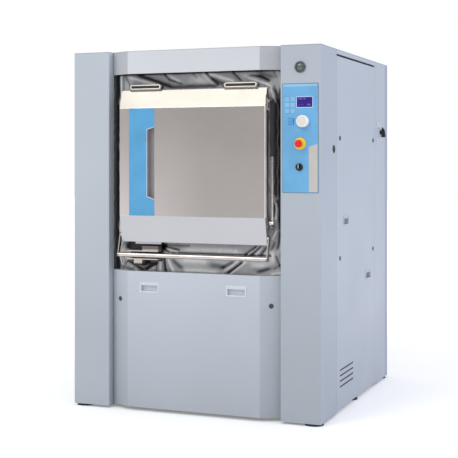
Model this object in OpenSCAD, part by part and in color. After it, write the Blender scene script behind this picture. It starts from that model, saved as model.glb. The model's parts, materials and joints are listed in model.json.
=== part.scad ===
// Barrier washer: a side-loading washer-extractor with a door on the soiled side and one on the clean side
// Millimetres, Z up, front (soiled side) towards -Y, origin on the floor under the middle of the whole box

/* [Casing] */
// Width of the casing
casing_w = 1440; // [1420:1:1500]
// Depth of the casing, front face to rear face
casing_d = 1450; // [1440:1:1500]
// Top of the casing above the floor
casing_top = 1972; // [1960:1:2030]
// Gap between the casing panels and the floor
floor_gap = 12; // [6:1:25]
// Thickness of the casing sheet
sheet_t = 2; // [1.5:0.5:3]
// Outer radius of the folded edges
fold_r = 5; // [4:1:8]
// Width of a column's front face
column_w = 219; // [210:1:224]
// Depth of a front column along the side
front_column_side = 293; // [260:1:330]
// Depth of a rear column along the side
rear_column_side = 321; // [260:1:340]
// Depth of the return on a column's inner edge
column_return = 60; // [50:1:64]
// Gap between neighbouring casing panels
panel_gap = 2; // [1:0.5:4]
// Depth of the folded flanges of panels
panel_flange = 18; // [12:1:19]
// Height of the rail along the top of each side
side_rail_h = 26; // [20:1:34]
// Dark gap under the side rail
side_rail_gap = 11; // [6:1:16]

/* [Front bay] */
// Width of the flat middle zone of the header and the lower panel
bay_flat_w = 772; // [700:1:840]
// How far the outer edges of the bay stand back
bay_setback = 50; // [30:1:54]
// Top edge of the lower panel
opening_bottom = 765; // [757:1:782]
// Bottom edge of the header
opening_top = 1847; // [1832:1:1857]

/* [Flush pulls, locks and louvres] */
// Width of a pull's finger recess
pull_w = 100; // [80:1:110]
// Height of a pull's finger recess
pull_h = 42; // [30:1:50]
// Depth of a pull's finger recess
pull_depth = 22; // [15:1:28]
// Width of the rim round a recess
pull_rim = 8; // [5:1:12]
// Distance of the front pulls from the middle
pull_x = 254; // [200:1:290]
// Height of the front pulls
pull_z = 679; // [612:1:702]
// Radius of a panel lock
lock_r = 11; // [8:0.5:14]
// Distance of the front panel locks from the middle
panel_lock_x = 442; // [430:1:455]
// Height of the front panel locks
panel_lock_z = 607; // [512:1:652]
// Length of a louvre
louvre_len = 270; // [150:1:320]
// Height of a louvre's opening
louvre_h = 14; // [8:1:20]
// Number of louvres on a side
louvre_count = 4; // [2:1:5]
// Height from one louvre to the next
louvre_pitch = 30; // [26:1:36]

/* [Steel frame] */
// How far the steel frame stands behind the casing's faces
frame_inset = 20; // [20:1:24]
// Height of the levelling feet
foot_h = 40; // [30:1:60]
// Radius of a foot's pad
foot_r = 50; // [35:1:60]
// Height of the base beams
beam_h = 100; // [80:1:120]
// Width of the beams and corner posts
beam_w = 60; // [50:1:70]
// Wall of the beams
beam_t = 5; // [3:0.5:8]
// Side of the portal uprights
portal_w = 40; // [30:1:45]
// Width of the clear way through a portal
portal_open_w = 996; // [980:1:1000]

/* [Tub] */
// Height of the tub's axis
tub_z = 1340; // [1322:1:1352]
// Outer radius of the tub
tub_r = 545; // [542:1:560]
// Wall of the tub
tub_t = 5; // [3:0.5:8]
// Room beside the tub for a bearing unit and a pulley, from its end plate to the casing's side
side_room = 220; // [216:1:226]
// Thickness of an end plate
end_t = 12; // [8:1:16]
// Inner width of a door neck
neck_w = 744; // [700:1:760]
// Inner height of a door neck
neck_h = 724; // [690:1:740]
// Wall of a door neck
neck_t = 4; // [3:0.5:6]
// Width of the flange at a neck's mouth
flange_w = 820; // [810:1:830]
// Height of the flange at a neck's mouth
flange_h = 806; // [800:1:812]
// Thickness of the flange
flange_t = 8; // [5:1:10]
// How far the door seal reaches outside a neck's opening
seal_out = 23; // [18:1:24]
// How far the flange's face stands behind the casing front
flange_back = 53; // [52:1:56]

/* [Drum] */
// Outer radius of the drum
drum_r = 490; // [470:1:492]
// Wall of the drum
drum_t = 4; // [3:0.5:6]
// Gap between the drum and each end plate
drum_gap = 50; // [36:1:60]
// Width of the loading opening
drum_door_w = 660; // [560:1:680]
// Height of the loading opening, along the chord
drum_door_h = 400; // [340:1:404]
// Depth of the lifting ribs
lifter_h = 90; // [50:1:120]
// Number of lifting ribs
lifter_count = 3; // [3:1:3]
// Radius of the drum's stub shafts
shaft_r = 50; // [35:1:60]

/* [Drive] */
// Outer radius of the drum pulley
drum_pulley_r = 350; // [300:1:360]
// Outer radius of the motor pulley
motor_pulley_r = 90; // [70:1:110]
// Width of the pulleys
pulley_w = 90; // [80:1:94]
// Number of belts
belt_count = 3; // [2:1:3]
// Width of a belt at its back
belt_w = 17; // [13:1:20]
// Height of the motor's axis
motor_z = 612; // [602:1:652]
// Distance of the motor behind the tub's axis
motor_y = 260; // [220:1:280]
// Radius of the motor's body
motor_r = 120; // [90:1:130]
// Length of the motor's body
motor_len = 380; // [300:1:420]

/* [Suspension] */
// Outer radius of an air spring
spring_r = 80; // [60:1:85]
// Height of an air spring
spring_h = 200; // [180:1:220]
// Distance of the air springs from the middle, across
spring_x = 545; // [530:1:550]
// Distance of the air springs from the middle, front to rear
spring_y = 430; // [400:1:440]

/* [Door] */
// Width of a door
door_w = 849; // [840:1:856]
// Bottom edge of a door
door_bottom = 926; // [917:1:930]
// Top edge of a door
door_top = 1754; // [1748:1:1760]
// How far a door's flat face stands in front of the casing
door_proud = 20; // [16:1:24]
// Depth of the door's skin
door_depth = 45; // [43:1:47]
// Depth of the sloped top and bottom bands
slope_d = 28; // [24:1:30]
// Height of the sloped top band
top_slope_h = 98; // [80:1:120]
// Height of the sloped bottom band
bottom_slope_h = 144; // [120:1:160]
// Thickness of the door's skin
skin_t = 2; // [1.5:0.5:3]
// Thickness of the door's inner pan
pan_t = 3; // [2:0.5:4]
// How far the inner pan reaches behind the skin
pan_back = 10; // [9:0.5:11]
// Width of the grip recess
grip_w = 44; // [36:1:60]
// Height of the grip recess at its long edge
grip_h = 391; // [300:1:420]
// How much shorter the recess is at its other edge, at each end
grip_slant = 14; // [6:1:24]
// Distance of the recess's long edge from the middle, to the left
grip_x = 214; // [180:1:260]
// Height of the recess's middle
grip_z = 1357; // [1312:1:1392]
// Depth of the grip recess
grip_depth = 38; // [25:1:40]

/* [Door hinges] */
// Height of the hinge pins above the door's top edge
hinge_rise = 18; // [16:1:22]
// Distance of the hinge pins behind the door's flat face
hinge_back = 33; // [31:1:36]
// Distance of a hinge from the middle
hinge_x = 278; // [240:1:300]
// Length of a hinge
hinge_w = 188; // [150:1:200]
// Radius of a hinge pin
pin_r = 7; // [5:0.5:8]
// Thickness of the hinge ears and arms
ear_t = 8; // [6:1:10]

/* [Bail] */
// Radius of the pull bar
bar_r = 12.5; // [10:0.5:13]
// Depth of the pull bar below the door's bottom edge
bar_drop = 71; // [69:1:73]
// Distance of the pull bar behind the door's flat face
bar_back = 5; // [4:1:8]
// Distance of the bail's pivots behind the door's flat face
bail_pivot_back = 34; // [32:1:35]
// Height of the bail's pivots above the door's bottom edge
bail_pivot_rise = 36; // [30:1:45]
// Width of a bail arm
arm_w = 24; // [20:1:26]
// Thickness of a bail arm
arm_t = 6; // [4:1:8]

/* [Lock] */
// Distance of the lock bolt from the middle, to the left
bolt_x = 318; // [290:1:330]
// Radius of the lock bolt
bolt_r = 6; // [5:0.5:7]
// Travel of the lock bolt
bolt_travel = 30; // [28:1:34]
// Width of the lock
lock_w = 185; // [160:1:190]
// Gap between the lock's jaws
jaw_gap = 38; // [36:1:42]

/* [Gas strut] */
// Distance of the struts from the middle
strut_x = 458; // [454:1:462]
// Height of a strut's upper pivot
strut_top_z = 1684; // [1672:1:1692]
// Height of a strut's lower pivot
strut_foot_z = 1042; // [1022:1:1062]
// Distance of the struts in front of the casing
strut_proud = 2; // [0:1:5]
// Radius of a strut's cylinder
strut_r = 12; // [10:0.5:13]
// Length of a strut's cylinder
strut_len = 290; // [270:1:310]
// Radius of a strut's rod
rod_r = 5.5; // [4:0.5:6]

/* [Bellows] */
// Thickness of the bellows' cloth
cloth_t = 3; // [2:0.5:4]
// Depth of the bellows' main folds
fold_d = 15; // [6:1:16]

/* [Controls] */
// Width of the control fascia
fascia_w = 192; // [186:1:196]
// Height of the control fascia
fascia_h = 562; // [540:1:590]
// Height of the fascia's lower edge
fascia_z = 1206; // [1192:1:1222]
// Thickness of the fascia
fascia_t = 3; // [2:0.5:5]
// Width of the display window
display_w = 84; // [70:1:90]
// Height of the display window
display_h = 52; // [40:1:56]
// Side of a program key
key_w = 22; // [16:1:24]
// Distance from one key to the next
key_pitch = 30; // [27:1:32]
// Radius of the control knob
knob_r = 33; // [25:1:36]
// Height of the control knob
knob_h = 28; // [20:1:34]
// Radius of the emergency stop's collar
collar_r = 31; // [26:1:34]
// Radius of the emergency stop's mushroom button
mushroom_r = 20; // [16:1:22]
// How far an emergency stop stands out of its fascia
estop_out = 42; // [36:1:50]
// Radius of the selector
selector_r = 19; // [15:1:22]
// Radius of the signal lamp
lamp_r = 30; // [24:1:34]
// Height of the signal lamp's middle
lamp_z = 1855; // [1812:1:1872]
// How far the main switch handle stands out of the casing's side
switch_out = 45; // [36:1:60]
// Depth of the box of the controls behind the fascia
box_d = 150; // [110:1:180]

/* [Hidden] */
$fn = 64;

// Colours
pale_blue = [0.74, 0.77, 0.82];
stainless = [0.68, 0.66, 0.64];
steel = [0.35, 0.37, 0.4];
black = [0.08, 0.08, 0.09];
grey_cloth = [0.42, 0.43, 0.43];

// Clearances
run_gap = 0.05;
seat_gap = 0.3;
over = 1;

// Overall places
half_w = casing_w / 2;
tub_len = casing_w - 2 * side_room;
drum_len = tub_len - 2 * drum_gap;
half_d = casing_d / 2;
lock_head = 2.5;
shift_x = -(switch_out - lock_head) / 2;
column_x = half_w - column_w;
side_y0 = -half_d + front_column_side;
side_y1 = half_d - rear_column_side;

// Steel frame
frame_x = half_w - frame_inset;
side_flange = frame_inset - seat_gap;
frame_y = half_d - frame_inset;
base_top = foot_h + beam_h;
frame_top = casing_top - 6;
rail_z = frame_top - 60;
portal_y = half_d - 75;
portal_x = portal_open_w / 2;
portal_bottom = opening_bottom - 5;
portal_top = opening_top + 5;

// Tub and door planes, as distances in front of the machine's middle
flange_y = half_d - flange_back;
door_y = half_d + door_proud;
skin_back_y = door_y - door_depth;
pan_back_y = skin_back_y - pan_back;

// Hinge and bail axes
hinge_y = door_y - hinge_back;
hinge_z = door_top + hinge_rise;
bail_y = door_y - bail_pivot_back;
bail_z = door_bottom + bail_pivot_rise;
bar_y = door_y - bar_back;
bar_z = door_bottom - bar_drop;
boss_t = 6;
bar_end = 1.5;
arm_x = door_w / 2 + boss_t + 0.5;

// Lock
jaw_t = 6;
jaw_top = bar_z + jaw_gap / 2;
jaw_bottom = bar_z - jaw_gap / 2;
jaw_front = bar_y - 5;
bolt_y = bar_y - 25;
guide_h = 34;
plate_drop = 12;
seal_clear = 4;
bolt_len = bolt_travel + jaw_t + 4;
striker_t = 8;
keeper_w = 155;
keeper_x = -bolt_x - 27;

// Strut
strut_y = half_d + strut_proud;
eye_r = 10;
eye_w = 10;
stud_r = 5;
strut_cap = 6;
strut_cyl_top = strut_top_z - eye_r - 2;
strut_cyl_foot = strut_cyl_top - strut_len + eye_r;
rod_top = strut_cyl_foot + 150;
piston_h = 14;

// Drum door
drum_edge = asin(drum_door_h / 2 / drum_r);
leaf_pin_r = 5;
leaf_axis_r = drum_r + 12;
leaf_axis = drum_edge + 0.6;
leaf_gap = 0.3;
ring_r0 = drum_r - 198;
ring_r1 = drum_r - 118;
cone_r = 170;

// Drive
belt_deep = 13;
drive_gap = 5;
pull_clear = 3;
bearing_len = side_room - end_t - drive_gap - pulley_w - pull_depth - pull_clear;
pulley_x = tub_len / 2 + end_t + bearing_len + drive_gap;
unit_r = 160;
unit_neck_r = 104;
unit_cap_r = 88;
belt_pitch = 26;
belt_angle = atan2(motor_y, tub_z - motor_z);
belt_span = norm([motor_y, tub_z - motor_z]);
belt_lean = asin((drum_pulley_r - motor_pulley_r) / belt_span);
motor_shaft_r = 21;
valve_r = 24;
valve_gap = 120;
valve_places = [-2 * valve_gap, -valve_gap];
hose_room_x = 70;
hose_room_y = 60;
valve_spigot = 30;
drain_r = 50;
drain_drop = 330;
drain_body_r = 78;
drain_spigot = 90;
drain_reach = 200;

// Suspension
foot_plate_t = 12;
spring_top = base_top + spring_h;
foot_plate_w = 2 * spring_r + 20;

// Controls
fascia_x = column_x + 109;
control_y = -half_d - fascia_t;
key_x = fascia_x - 69;
key_z = fascia_z + 482;
display_x = fascia_x + 24;
display_z = fascia_z + 467;
knob_x = fascia_x + 17;
knob_z = fascia_z + 368;
estop_z = fascia_z + 252;
selector_x = fascia_x - 4;
selector_z = fascia_z + 131;
switch_y = half_d - 234;
cable_hole_z = 1432;
switch_z = 1543;
grip_half = 7.5;
rear_fascia_w = 96;
rear_fascia_h = 150;

// Turns a piece to the clean side
module clean_side() rotate([0, 0, 180]) children();

// Makes a piece on the soiled side and its twin on the clean side
module both_sides() {
    children();
    clean_side() children();
}

// Makes a piece on the right and its mirror image on the left
module left_and_right() {
    children();
    mirror([1, 0, 0]) children();
}

// Moves the machine so that its whole box stands centred over the origin
module place() translate([shift_x, 0, 0]) children();

// Block between two corners
module block(lo, hi) translate(lo) cube(hi - lo);

// Folded channel between two corners, open in one direction
module channel(lo, hi, open) {
    pocket_lo = [for (i = [0:2]) open[i] < 0 ? lo[i] - over : lo[i] + beam_t];
    pocket_hi = [for (i = [0:2]) open[i] > 0 ? hi[i] + over : hi[i] - beam_t];
    difference() {
        block(lo, hi);
        block(pocket_lo, pocket_hi);
    }
}

// Extrudes an outline drawn in Y and Z along X
module along_x(from, to) translate([from, 0, 0]) rotate([90, 0, 90]) linear_extrude(to - from) children();

// Extrudes an outline drawn in X and Z along Y
module along_y(from, to) translate([0, to, 0]) rotate([90, 0, 0]) linear_extrude(to - from) children();

// Turns a profile of radius and length about X, starting at x
module turned_x(x) translate([x, 0, 0]) rotate([90, 0, 90]) rotate_extrude() children();

// Round rod along X
module rod_x(r, from, to) translate([from, 0, 0]) rotate([0, 90, 0]) cylinder(r = r, h = to - from);

// Round rod along Y
module rod_y(r, from, to) translate([0, to, 0]) rotate([90, 0, 0]) cylinder(r = r, h = to - from);

// Rectangle with rounded corners, centred
module rounded(w, h, r) offset(r = r, $fn = 24) square([w - 2 * r, h - 2 * r], center = true);

// Levelled base of folded channels with two spring beams
module base_frame() color(steel) {
    both_sides() {
        channel([frame_x - beam_w, -frame_y, foot_h], [frame_x, frame_y, base_top], [-1, 0, 0]);
        channel([beam_w - frame_x, -portal_y - 15, foot_h],
            [frame_x - beam_w, -portal_y - 15 + beam_w, base_top], [0, 1, 0]);
        channel([beam_w - frame_x, -spring_y - beam_w, foot_h],
            [frame_x - beam_w, -spring_y + beam_w, base_top], [0, 0, -1]);
    }
}

// Six screw feet under the side beams
module levelling_feet() color(black)
    for (x = [-1, 1], y = [-1, 0, 1])
        translate([x * (frame_x - beam_w / 2), y * (frame_y - beam_w / 2), 0]) {
            cylinder(r1 = foot_r, r2 = foot_r - 6, h = 12);
            cylinder(r = 12, h = foot_h);
            translate([0, 0, foot_h - 12]) cylinder(r = 20, h = 12, $fn = 6);
        }

// Corner posts, top rails and the two portals that the bellows are fixed to
module upper_frame() color(steel) both_sides() {
    for (x = [-1, 1]) {
        channel([x * (frame_x - beam_w / 2) - beam_w / 2, -frame_y, base_top],
            [x * (frame_x - beam_w / 2) + beam_w / 2, beam_w - frame_y, rail_z], [-x, 0, 0]);
        channel([x * (portal_x + portal_w / 2) - portal_w / 2, -portal_y, base_top],
            [x * (portal_x + portal_w / 2) + portal_w / 2, portal_w - portal_y, rail_z], [0, 1, 0]);
    }
    channel([frame_x - beam_w, -frame_y, rail_z], [frame_x, frame_y, frame_top], [-1, 0, 0]);
    channel([beam_w - frame_x, -portal_y, rail_z],
        [frame_x - beam_w, portal_w - portal_y, frame_top], [0, 1, 0]);
    for (z = [portal_bottom - portal_w, portal_top])
        channel([-portal_x, -portal_y, z], [portal_x, portal_w - portal_y, z + portal_w], [0, 1, 0]);
}

// Outline of a column seen from above, its front corners rounded
module column_outline(w, d, r) intersection() {
    square([w, d]);
    offset(r = r, $fn = 24) offset(delta = -r) square([w, d + 4 * r]);
}

// Folded column with its outer front corner at the origin, the inner return on its far edge
module column(side) {
    height = casing_top - floor_gap;
    translate([0, 0, floor_gap]) {
        linear_extrude(height) {
            difference() {
                column_outline(column_w, side, fold_r);
                translate([sheet_t, sheet_t]) column_outline(column_w - 2 * sheet_t, side, fold_r - sheet_t);
                translate([column_w / 2, column_return]) square([column_w, side]);
            }
            translate([0, side - sheet_t]) square([panel_flange, sheet_t]);
            translate([column_w - panel_flange, column_return - sheet_t]) square([panel_flange, sheet_t]);
        }
        translate([0, 0, height - sheet_t]) linear_extrude(sheet_t) difference() {
            column_outline(column_w, side, fold_r);
            translate([column_w / 2, column_return]) square([column_w, side]);
        }
    }
}

module front_left_column() color(pale_blue) translate([-half_w, -half_d, 0]) column(front_column_side);

// The right column carries the fascia, the lamp and a plugged cable hole in its side
module front_right_column() color(pale_blue) difference() {
    mirror([1, 0, 0]) translate([-half_w, -half_d, 0]) column(front_column_side);
    block([fascia_x - fascia_w / 2 + 12, -half_d - over, fascia_z + 12],
        [fascia_x + fascia_w / 2 - 14, 10 - half_d, fascia_z + fascia_h - 12]);
    translate([fascia_x, 0, lamp_z]) rod_y(lamp_r - 6, -half_d - over, 10 - half_d);
    translate([0, side_y0 - 54, cable_hole_z]) rod_x(19, half_w - 10, half_w + over);
}

// The rear columns, the left one with the hole of the clean side's emergency stop
module rear_columns() color(pale_blue) clean_side() {
    translate([-half_w, -half_d, 0]) column(rear_column_side);
    difference() {
        mirror([1, 0, 0]) translate([-half_w, -half_d, 0]) column(rear_column_side);
        translate([fascia_x, 0, estop_z]) rod_y(16, -half_d - over, 10 - half_d);
    }
}

// Outline of the bay seen from above, from its front edge back to a depth behind it
module bay_outline(back, inset) {
    edge = column_x - panel_gap;
    polygon([[-edge, bay_setback - half_d + inset], [-bay_flat_w / 2, inset - half_d],
        [bay_flat_w / 2, inset - half_d], [edge, bay_setback - half_d + inset],
        [edge, bay_setback - half_d + back], [bay_flat_w / 2, back - half_d],
        [-bay_flat_w / 2, back - half_d], [-edge, bay_setback - half_d + back]]);
}

// Bay-shaped sheet between two heights with a flange along its top and bottom
module bay_sheet(z0, z1) {
    translate([0, 0, z0]) linear_extrude(z1 - z0) bay_outline(sheet_t, 0);
    for (z = [z0, z1 - sheet_t])
        translate([0, 0, z]) linear_extrude(sheet_t) bay_outline(panel_flange, 0);
}

module headers() color(pale_blue) both_sides() bay_sheet(opening_top, casing_top);

// Places of the locks on the slanted zones of a lower panel
bay_lean = atan2(bay_setback, column_x - panel_gap - bay_flat_w / 2);

module at_lower_lock(side)
    translate([side * panel_lock_x, (panel_lock_x - bay_flat_w / 2) * tan(bay_lean) - half_d, panel_lock_z])
        rotate([0, 0, side * bay_lean]) children();

// Holes for the pulls and locks of a lower panel
module lower_panel_holes() {
    for (x = [-pull_x, pull_x])
        translate([x, 0, pull_z]) along_y(-half_d - over, 10 - half_d)
            square([pull_w + 6, pull_h + 6], center = true);
    for (side = [-1, 1]) at_lower_lock(side) rod_y(lock_r + seat_gap, -8, 12);
}

// Hangers that carry a lower panel on the portal's lower beam
hanger_x = pull_x + pull_w / 2 + 30;
hanger_w = 3;
hanger_h = 18;

module lower_panels() color(pale_blue) both_sides() {
    difference() {
        bay_sheet(floor_gap + 8, opening_bottom);
        lower_panel_holes();
    }
    left_and_right() block([hanger_x, sheet_t / 2 - half_d, portal_bottom - portal_w + 3],
        [hanger_x + hanger_w, -portal_y - seat_gap, portal_bottom - portal_w + 3 + hanger_h]);
}

// Places on a side panel: [distance along Y, height]
side_pulls = [[side_y0 + 184, 1040], [side_y1 - 163, 696]];
side_locks = [[side_y0 + 63, 1492], [side_y1 - 47, 1492], [side_y1 - 47, 839], [side_y0 + 67, 839]];
side_panel_top = casing_top - side_rail_h - side_rail_gap;
louvre_y = side_y0 + 200;
louvre_z = 135;

// Flat panel with a folded rim, pulls, locks and louvres
module side_panel() {
    y0 = side_y0 + panel_gap;
    y1 = side_y1 - panel_gap;
    z0 = floor_gap + 8;
    difference() {
        block([half_w - side_flange, y0, z0], [half_w, y1, side_panel_top]);
        block([half_w - side_flange - over, y0 + sheet_t, z0 + sheet_t],
            [half_w - sheet_t, y1 - sheet_t, side_panel_top - sheet_t]);
        for (p = side_pulls)
            translate([0, p[0], p[1]]) along_x(half_w - 10, half_w + over)
                square([pull_w + 6, pull_h + 6], center = true);
        for (p = side_locks)
            translate([0, p[0], p[1]]) rod_x(lock_r + seat_gap, half_w - 10, half_w + over);
        for (i = [0:louvre_count - 1])
            translate([half_w - 5, louvre_y - louvre_len / 2, louvre_z + i * louvre_pitch])
                cube([10, louvre_len, louvre_h]);
    }
    for (i = [0:louvre_count - 1])
        translate([half_w - sheet_t, louvre_y + louvre_len / 2 + 2, louvre_z + i * louvre_pitch])
            rotate([90, 0, 0]) linear_extrude(louvre_len + 4)
                polygon([[sheet_t - 0.2, louvre_h + 1], [0.2, louvre_h + 1], [-7, 2], [-5.5, 0.5],
                    [sheet_t - 0.2, louvre_h - 2.5]]);
}

module side_panels() color(pale_blue) left_and_right() side_panel();

// Sheet over the frame with the opening of the supply hoses and a rail along each side
module top_cover() color(pale_blue) {
    cover_x = half_w - panel_flange - seat_gap;
    cover_y = half_d - column_return - 1;
    bay_x = column_x - panel_gap - 1;
    bay_y = half_d - sheet_t - 1;
    difference() {
        translate([0, 0, frame_top]) linear_extrude(sheet_t) polygon([[-cover_x, -cover_y], [-bay_x, -cover_y],
            [-bay_x, bay_setback - bay_y], [-bay_flat_w / 2, -bay_y], [bay_flat_w / 2, -bay_y],
            [bay_x, bay_setback - bay_y], [bay_x, -cover_y], [cover_x, -cover_y], [cover_x, cover_y],
            [bay_x, cover_y], [bay_x, bay_y - bay_setback], [bay_flat_w / 2, bay_y],
            [-bay_flat_w / 2, bay_y], [-bay_x, bay_y - bay_setback], [-bay_x, cover_y], [-cover_x, cover_y]]);
        block([valve_places[0] - hose_room_x, -hose_room_y, frame_top - over],
            [valve_places[1] + hose_room_x, hose_room_y, frame_top + sheet_t + over]);
    }
    left_and_right() difference() {
        block([half_w - panel_flange, side_y0 + panel_gap, casing_top - side_rail_h],
            [half_w, side_y1 - panel_gap, casing_top]);
        block([half_w - panel_flange - over, side_y0, casing_top - side_rail_h - over],
            [half_w - sheet_t, side_y1, frame_top - 2 - sheet_t]);
    }
}

// Recessed finger pull, its rim on the plane y = 0, facing -Y
module flush_pull() {
    difference() {
        union() {
            along_y(-2, 0) rounded(pull_w + 2 * pull_rim, pull_h + 2 * pull_rim, 5);
            along_y(0, pull_depth) square([pull_w + 5, pull_h + 5], center = true);
        }
        along_y(-3, pull_depth - 2) square([pull_w, pull_h], center = true);
    }
    translate([0, 0, pull_h / 2 - 5]) along_y(0, 2) square([pull_w + 1, 11], center = true);
}

module flush_pulls() color(pale_blue) {
    both_sides() for (x = [-pull_x, pull_x]) translate([x, -half_d, pull_z]) flush_pull();
    left_and_right() for (p = side_pulls) translate([half_w, p[0], p[1]]) rotate([0, 0, 90]) flush_pull();
}

// Quarter-turn lock, its head on the plane y = 0, facing -Y, with a cam behind
module panel_lock() {
    difference() {
        union() {
            rod_y(lock_r + 2, -lock_head, -run_gap);
            rod_y(lock_r, -lock_head, 18);
        }
        along_y(-lock_head - over, 4) square([3, 11], center = true);
    }
    translate([-8, 18, -6]) cube([16, 3, 40]);
}

module panel_locks() color("dimgray") {
    both_sides() for (side = [-1, 1]) at_lower_lock(side) panel_lock();
    left_and_right() for (p = side_locks) translate([half_w, p[0], p[1]]) rotate([0, 0, 90]) panel_lock();
}

// Hole in the fascia for one key
module key_place(i) translate([key_x + (i % 2) * key_pitch, 0, key_z - floor(i / 2) * key_pitch]) children();

// Front fascia with its openings, and the small plate of the clean side
module control_fascia() color([0.44, 0.71, 0.89]) {
    difference() {
        translate([fascia_x, 0, fascia_z + fascia_h / 2]) along_y(control_y, -half_d)
            rounded(fascia_w, fascia_h, 5);
        for (i = [0:5]) key_place(i) along_y(control_y - over, over - half_d)
            rounded(key_w + 1, key_w + 1, 3);
        translate([display_x, 0, display_z]) along_y(control_y - over, over - half_d)
            square([display_w + 0.6, display_h + 0.6], center = true);
        translate([knob_x, 0, knob_z]) rod_y(7, control_y - over, over - half_d);
        translate([fascia_x, 0, estop_z]) rod_y(14, control_y - over, over - half_d);
        translate([selector_x, 0, selector_z]) rod_y(9, control_y - over, over - half_d);
    }
    clean_side() difference() {
        translate([fascia_x, 0, estop_z]) along_y(control_y, -half_d)
            rounded(rear_fascia_w, rear_fascia_h, 5);
        translate([fascia_x, 0, estop_z]) rod_y(14, control_y - over, over - half_d);
    }
}

// Display pane with its screen module behind
module display_window() color([0.25, 0.16, 0.55]) translate([display_x, 0, display_z]) {
    along_y(control_y - 0.5, -half_d) square([display_w, display_h], center = true);
    along_y(-half_d, 8 - half_d) square([display_w - 30, display_h - 8], center = true);
}

// Key cap with a stem to its switch
module program_key(i) color([0.78, 0.88, 0.95]) key_place(i) {
    along_y(control_y - 2.5, -half_d - 0.5) rounded(key_w, key_w, 3);
    rod_y(4, -half_d - 0.5, 6 - half_d);
}

// Turned knob with a finger rim, an inset cap and its shaft
module control_knob() color([0.85, 0.84, 0.82]) translate([knob_x, control_y, knob_z])
    rotate([90, 0, 0]) rotate_extrude() polygon([[0, -24], [6.9, -24], [6.9, 1], [knob_r - 3, 1], [knob_r, 4],
        [knob_r - 1.5, knob_h - 4], [knob_r - 5, knob_h], [knob_r - 9, knob_h], [knob_r - 11, knob_h - 2],
        [0, knob_h - 2]]);

// Yellow collars of both emergency stops
module estop_collars() color("gold") both_sides() translate([fascia_x, control_y, estop_z])
    rotate([90, 0, 0]) rotate_extrude() polygon([[13.5, -20], [14 - 0.1, -20], [14 - 0.1, 0], [collar_r, 0],
        [collar_r, 3], [collar_r - 4, 5], [17, 5], [16, 14], [12, 14], [12, -20]]);

// Mushroom button with its stem
module estop_button() color("red") translate([fascia_x, control_y, estop_z])
    rotate([90, 0, 0]) rotate_extrude() polygon([[0, -16], [11.7, -16], [11.7, estop_out - 20],
        [mushroom_r - 2, estop_out - 19], [mushroom_r, estop_out - 16], [mushroom_r, estop_out - 10],
        [mushroom_r - 3, estop_out - 4], [mushroom_r - 9, estop_out - 1], [0, estop_out]]);

module front_estop_button() estop_button();
module rear_estop_button() clean_side() estop_button();

// Rotary selector with a raised grip bar
module selector_switch() color(black) translate([selector_x, control_y, selector_z]) {
    rotate([90, 0, 0]) rotate_extrude() polygon([[0, -18], [8.9, -18], [8.9, 0.5], [selector_r, 0.5],
        [selector_r, 8], [selector_r - 2, 10], [0, 10]]);
    along_y(-22, -9) rounded(11, 2 * selector_r - 6, 4);
}

// Round signal lamp: bezel with a domed lens
module signal_lamp() color([0.35, 0.4, 0.42]) translate([fascia_x, -half_d, lamp_z]) {
    rotate([90, 0, 0]) rotate_extrude() polygon([[0, -22], [lamp_r - 6.3, -22], [lamp_r - 6.3, 0],
        [lamp_r, 0], [lamp_r, 5], [lamp_r - 3, 8], [lamp_r - 6, 8], [lamp_r - 8, 5], [0, 5]]);
    intersection() {
        translate([0, 22, 0]) sphere(r = 36);
        rod_y(lamp_r - 9, -16, -4);
    }
}

// Main switch plate on the rear column's side
module main_switch_plate() color([0.8, 0.82, 0.85]) translate([0, switch_y, switch_z]) {
    difference() {
        along_x(half_w, half_w + 3) rounded(107, 132, 4);
        rod_x(8.1, half_w - over, half_w + 4);
    }
    along_x(half_w + 3, half_w + 12) difference() {
        rounded(64, 64, 6);
        circle(r = 8.1);
    }
}

// Turning handle of the main switch
module main_switch_handle() color(black) translate([0, switch_y, switch_z]) {
    rod_x(8, half_w + 0.5, half_w + 22);
    rod_x(13, half_w + 12.5, half_w + 22);
    along_y(-grip_half, grip_half) polygon([[half_w + 21, -30], [half_w + 19, 0], [half_w + 22, 20],
        [half_w + 27, 31], [half_w + 30, 31], [half_w + 34, 22], [half_w + 39, 18],
        [half_w + switch_out, -24], [half_w + switch_out - 2, -30]]);
}

// A point on a rectangle's edge: side 0 bottom, 1 right, 2 top, 3 left, and the part of it that is passed
function edge_point(side, part, half_x, z0, z1) =
    side == 0 ? [half_x * (2 * part - 1), z0] :
    side == 1 ? [half_x, z0 + (z1 - z0) * part] :
    side == 2 ? [half_x * (1 - 2 * part), z1] : [-half_x, z1 - (z1 - z0) * part];

// Rectangles of the bellows from its outer edge to its inner edge: [half width, bottom, top]
bellows_rows = 8;
bellows_steps = 18;
rim_in = 18;
outer_rim = [portal_x + 14, portal_bottom - 14, portal_top + 14];
outer_fold = [portal_x - rim_in, portal_bottom + rim_in, portal_top - rim_in];
flange_z0 = tub_z - flange_h / 2;
flange_z1 = tub_z + flange_h / 2;
inner_fold = [flange_w / 2 + 14, flange_z0 - 15, flange_z1 + 15];
inner_rim = [neck_w / 2 + neck_t + 11, tub_z - neck_h / 2 - neck_t - 11, tub_z + neck_h / 2 + neck_t + 11];

function bellows_rect(row) = row == 0 ? outer_rim : row == bellows_rows - 1 ? inner_rim :
    outer_fold + (inner_fold - outer_fold) * (row - 1) / (bellows_rows - 3);

// Distance of the cloth in front of the machine's middle at a row and a place along the ring
function bellows_depth(row, side, part) =
    let (across = (row - 1) / (bellows_rows - 3),
        flat_y = portal_y + seat_gap + (flange_y - flange_t - seat_gap - cloth_t - portal_y - seat_gap)
            * min(1, max(0, across)),
        swell = row < 1 || row > bellows_rows - 2 ? 0 : sin(180 * across),
        folds = side == 0 ? 4 : side == 2 ? 5 : 6)
    flat_y + swell * fold_d * (sin(360 * folds * part + 150 * across) - 0.35)
        * min(1, 6 * part, 6 * (1 - part));

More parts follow.
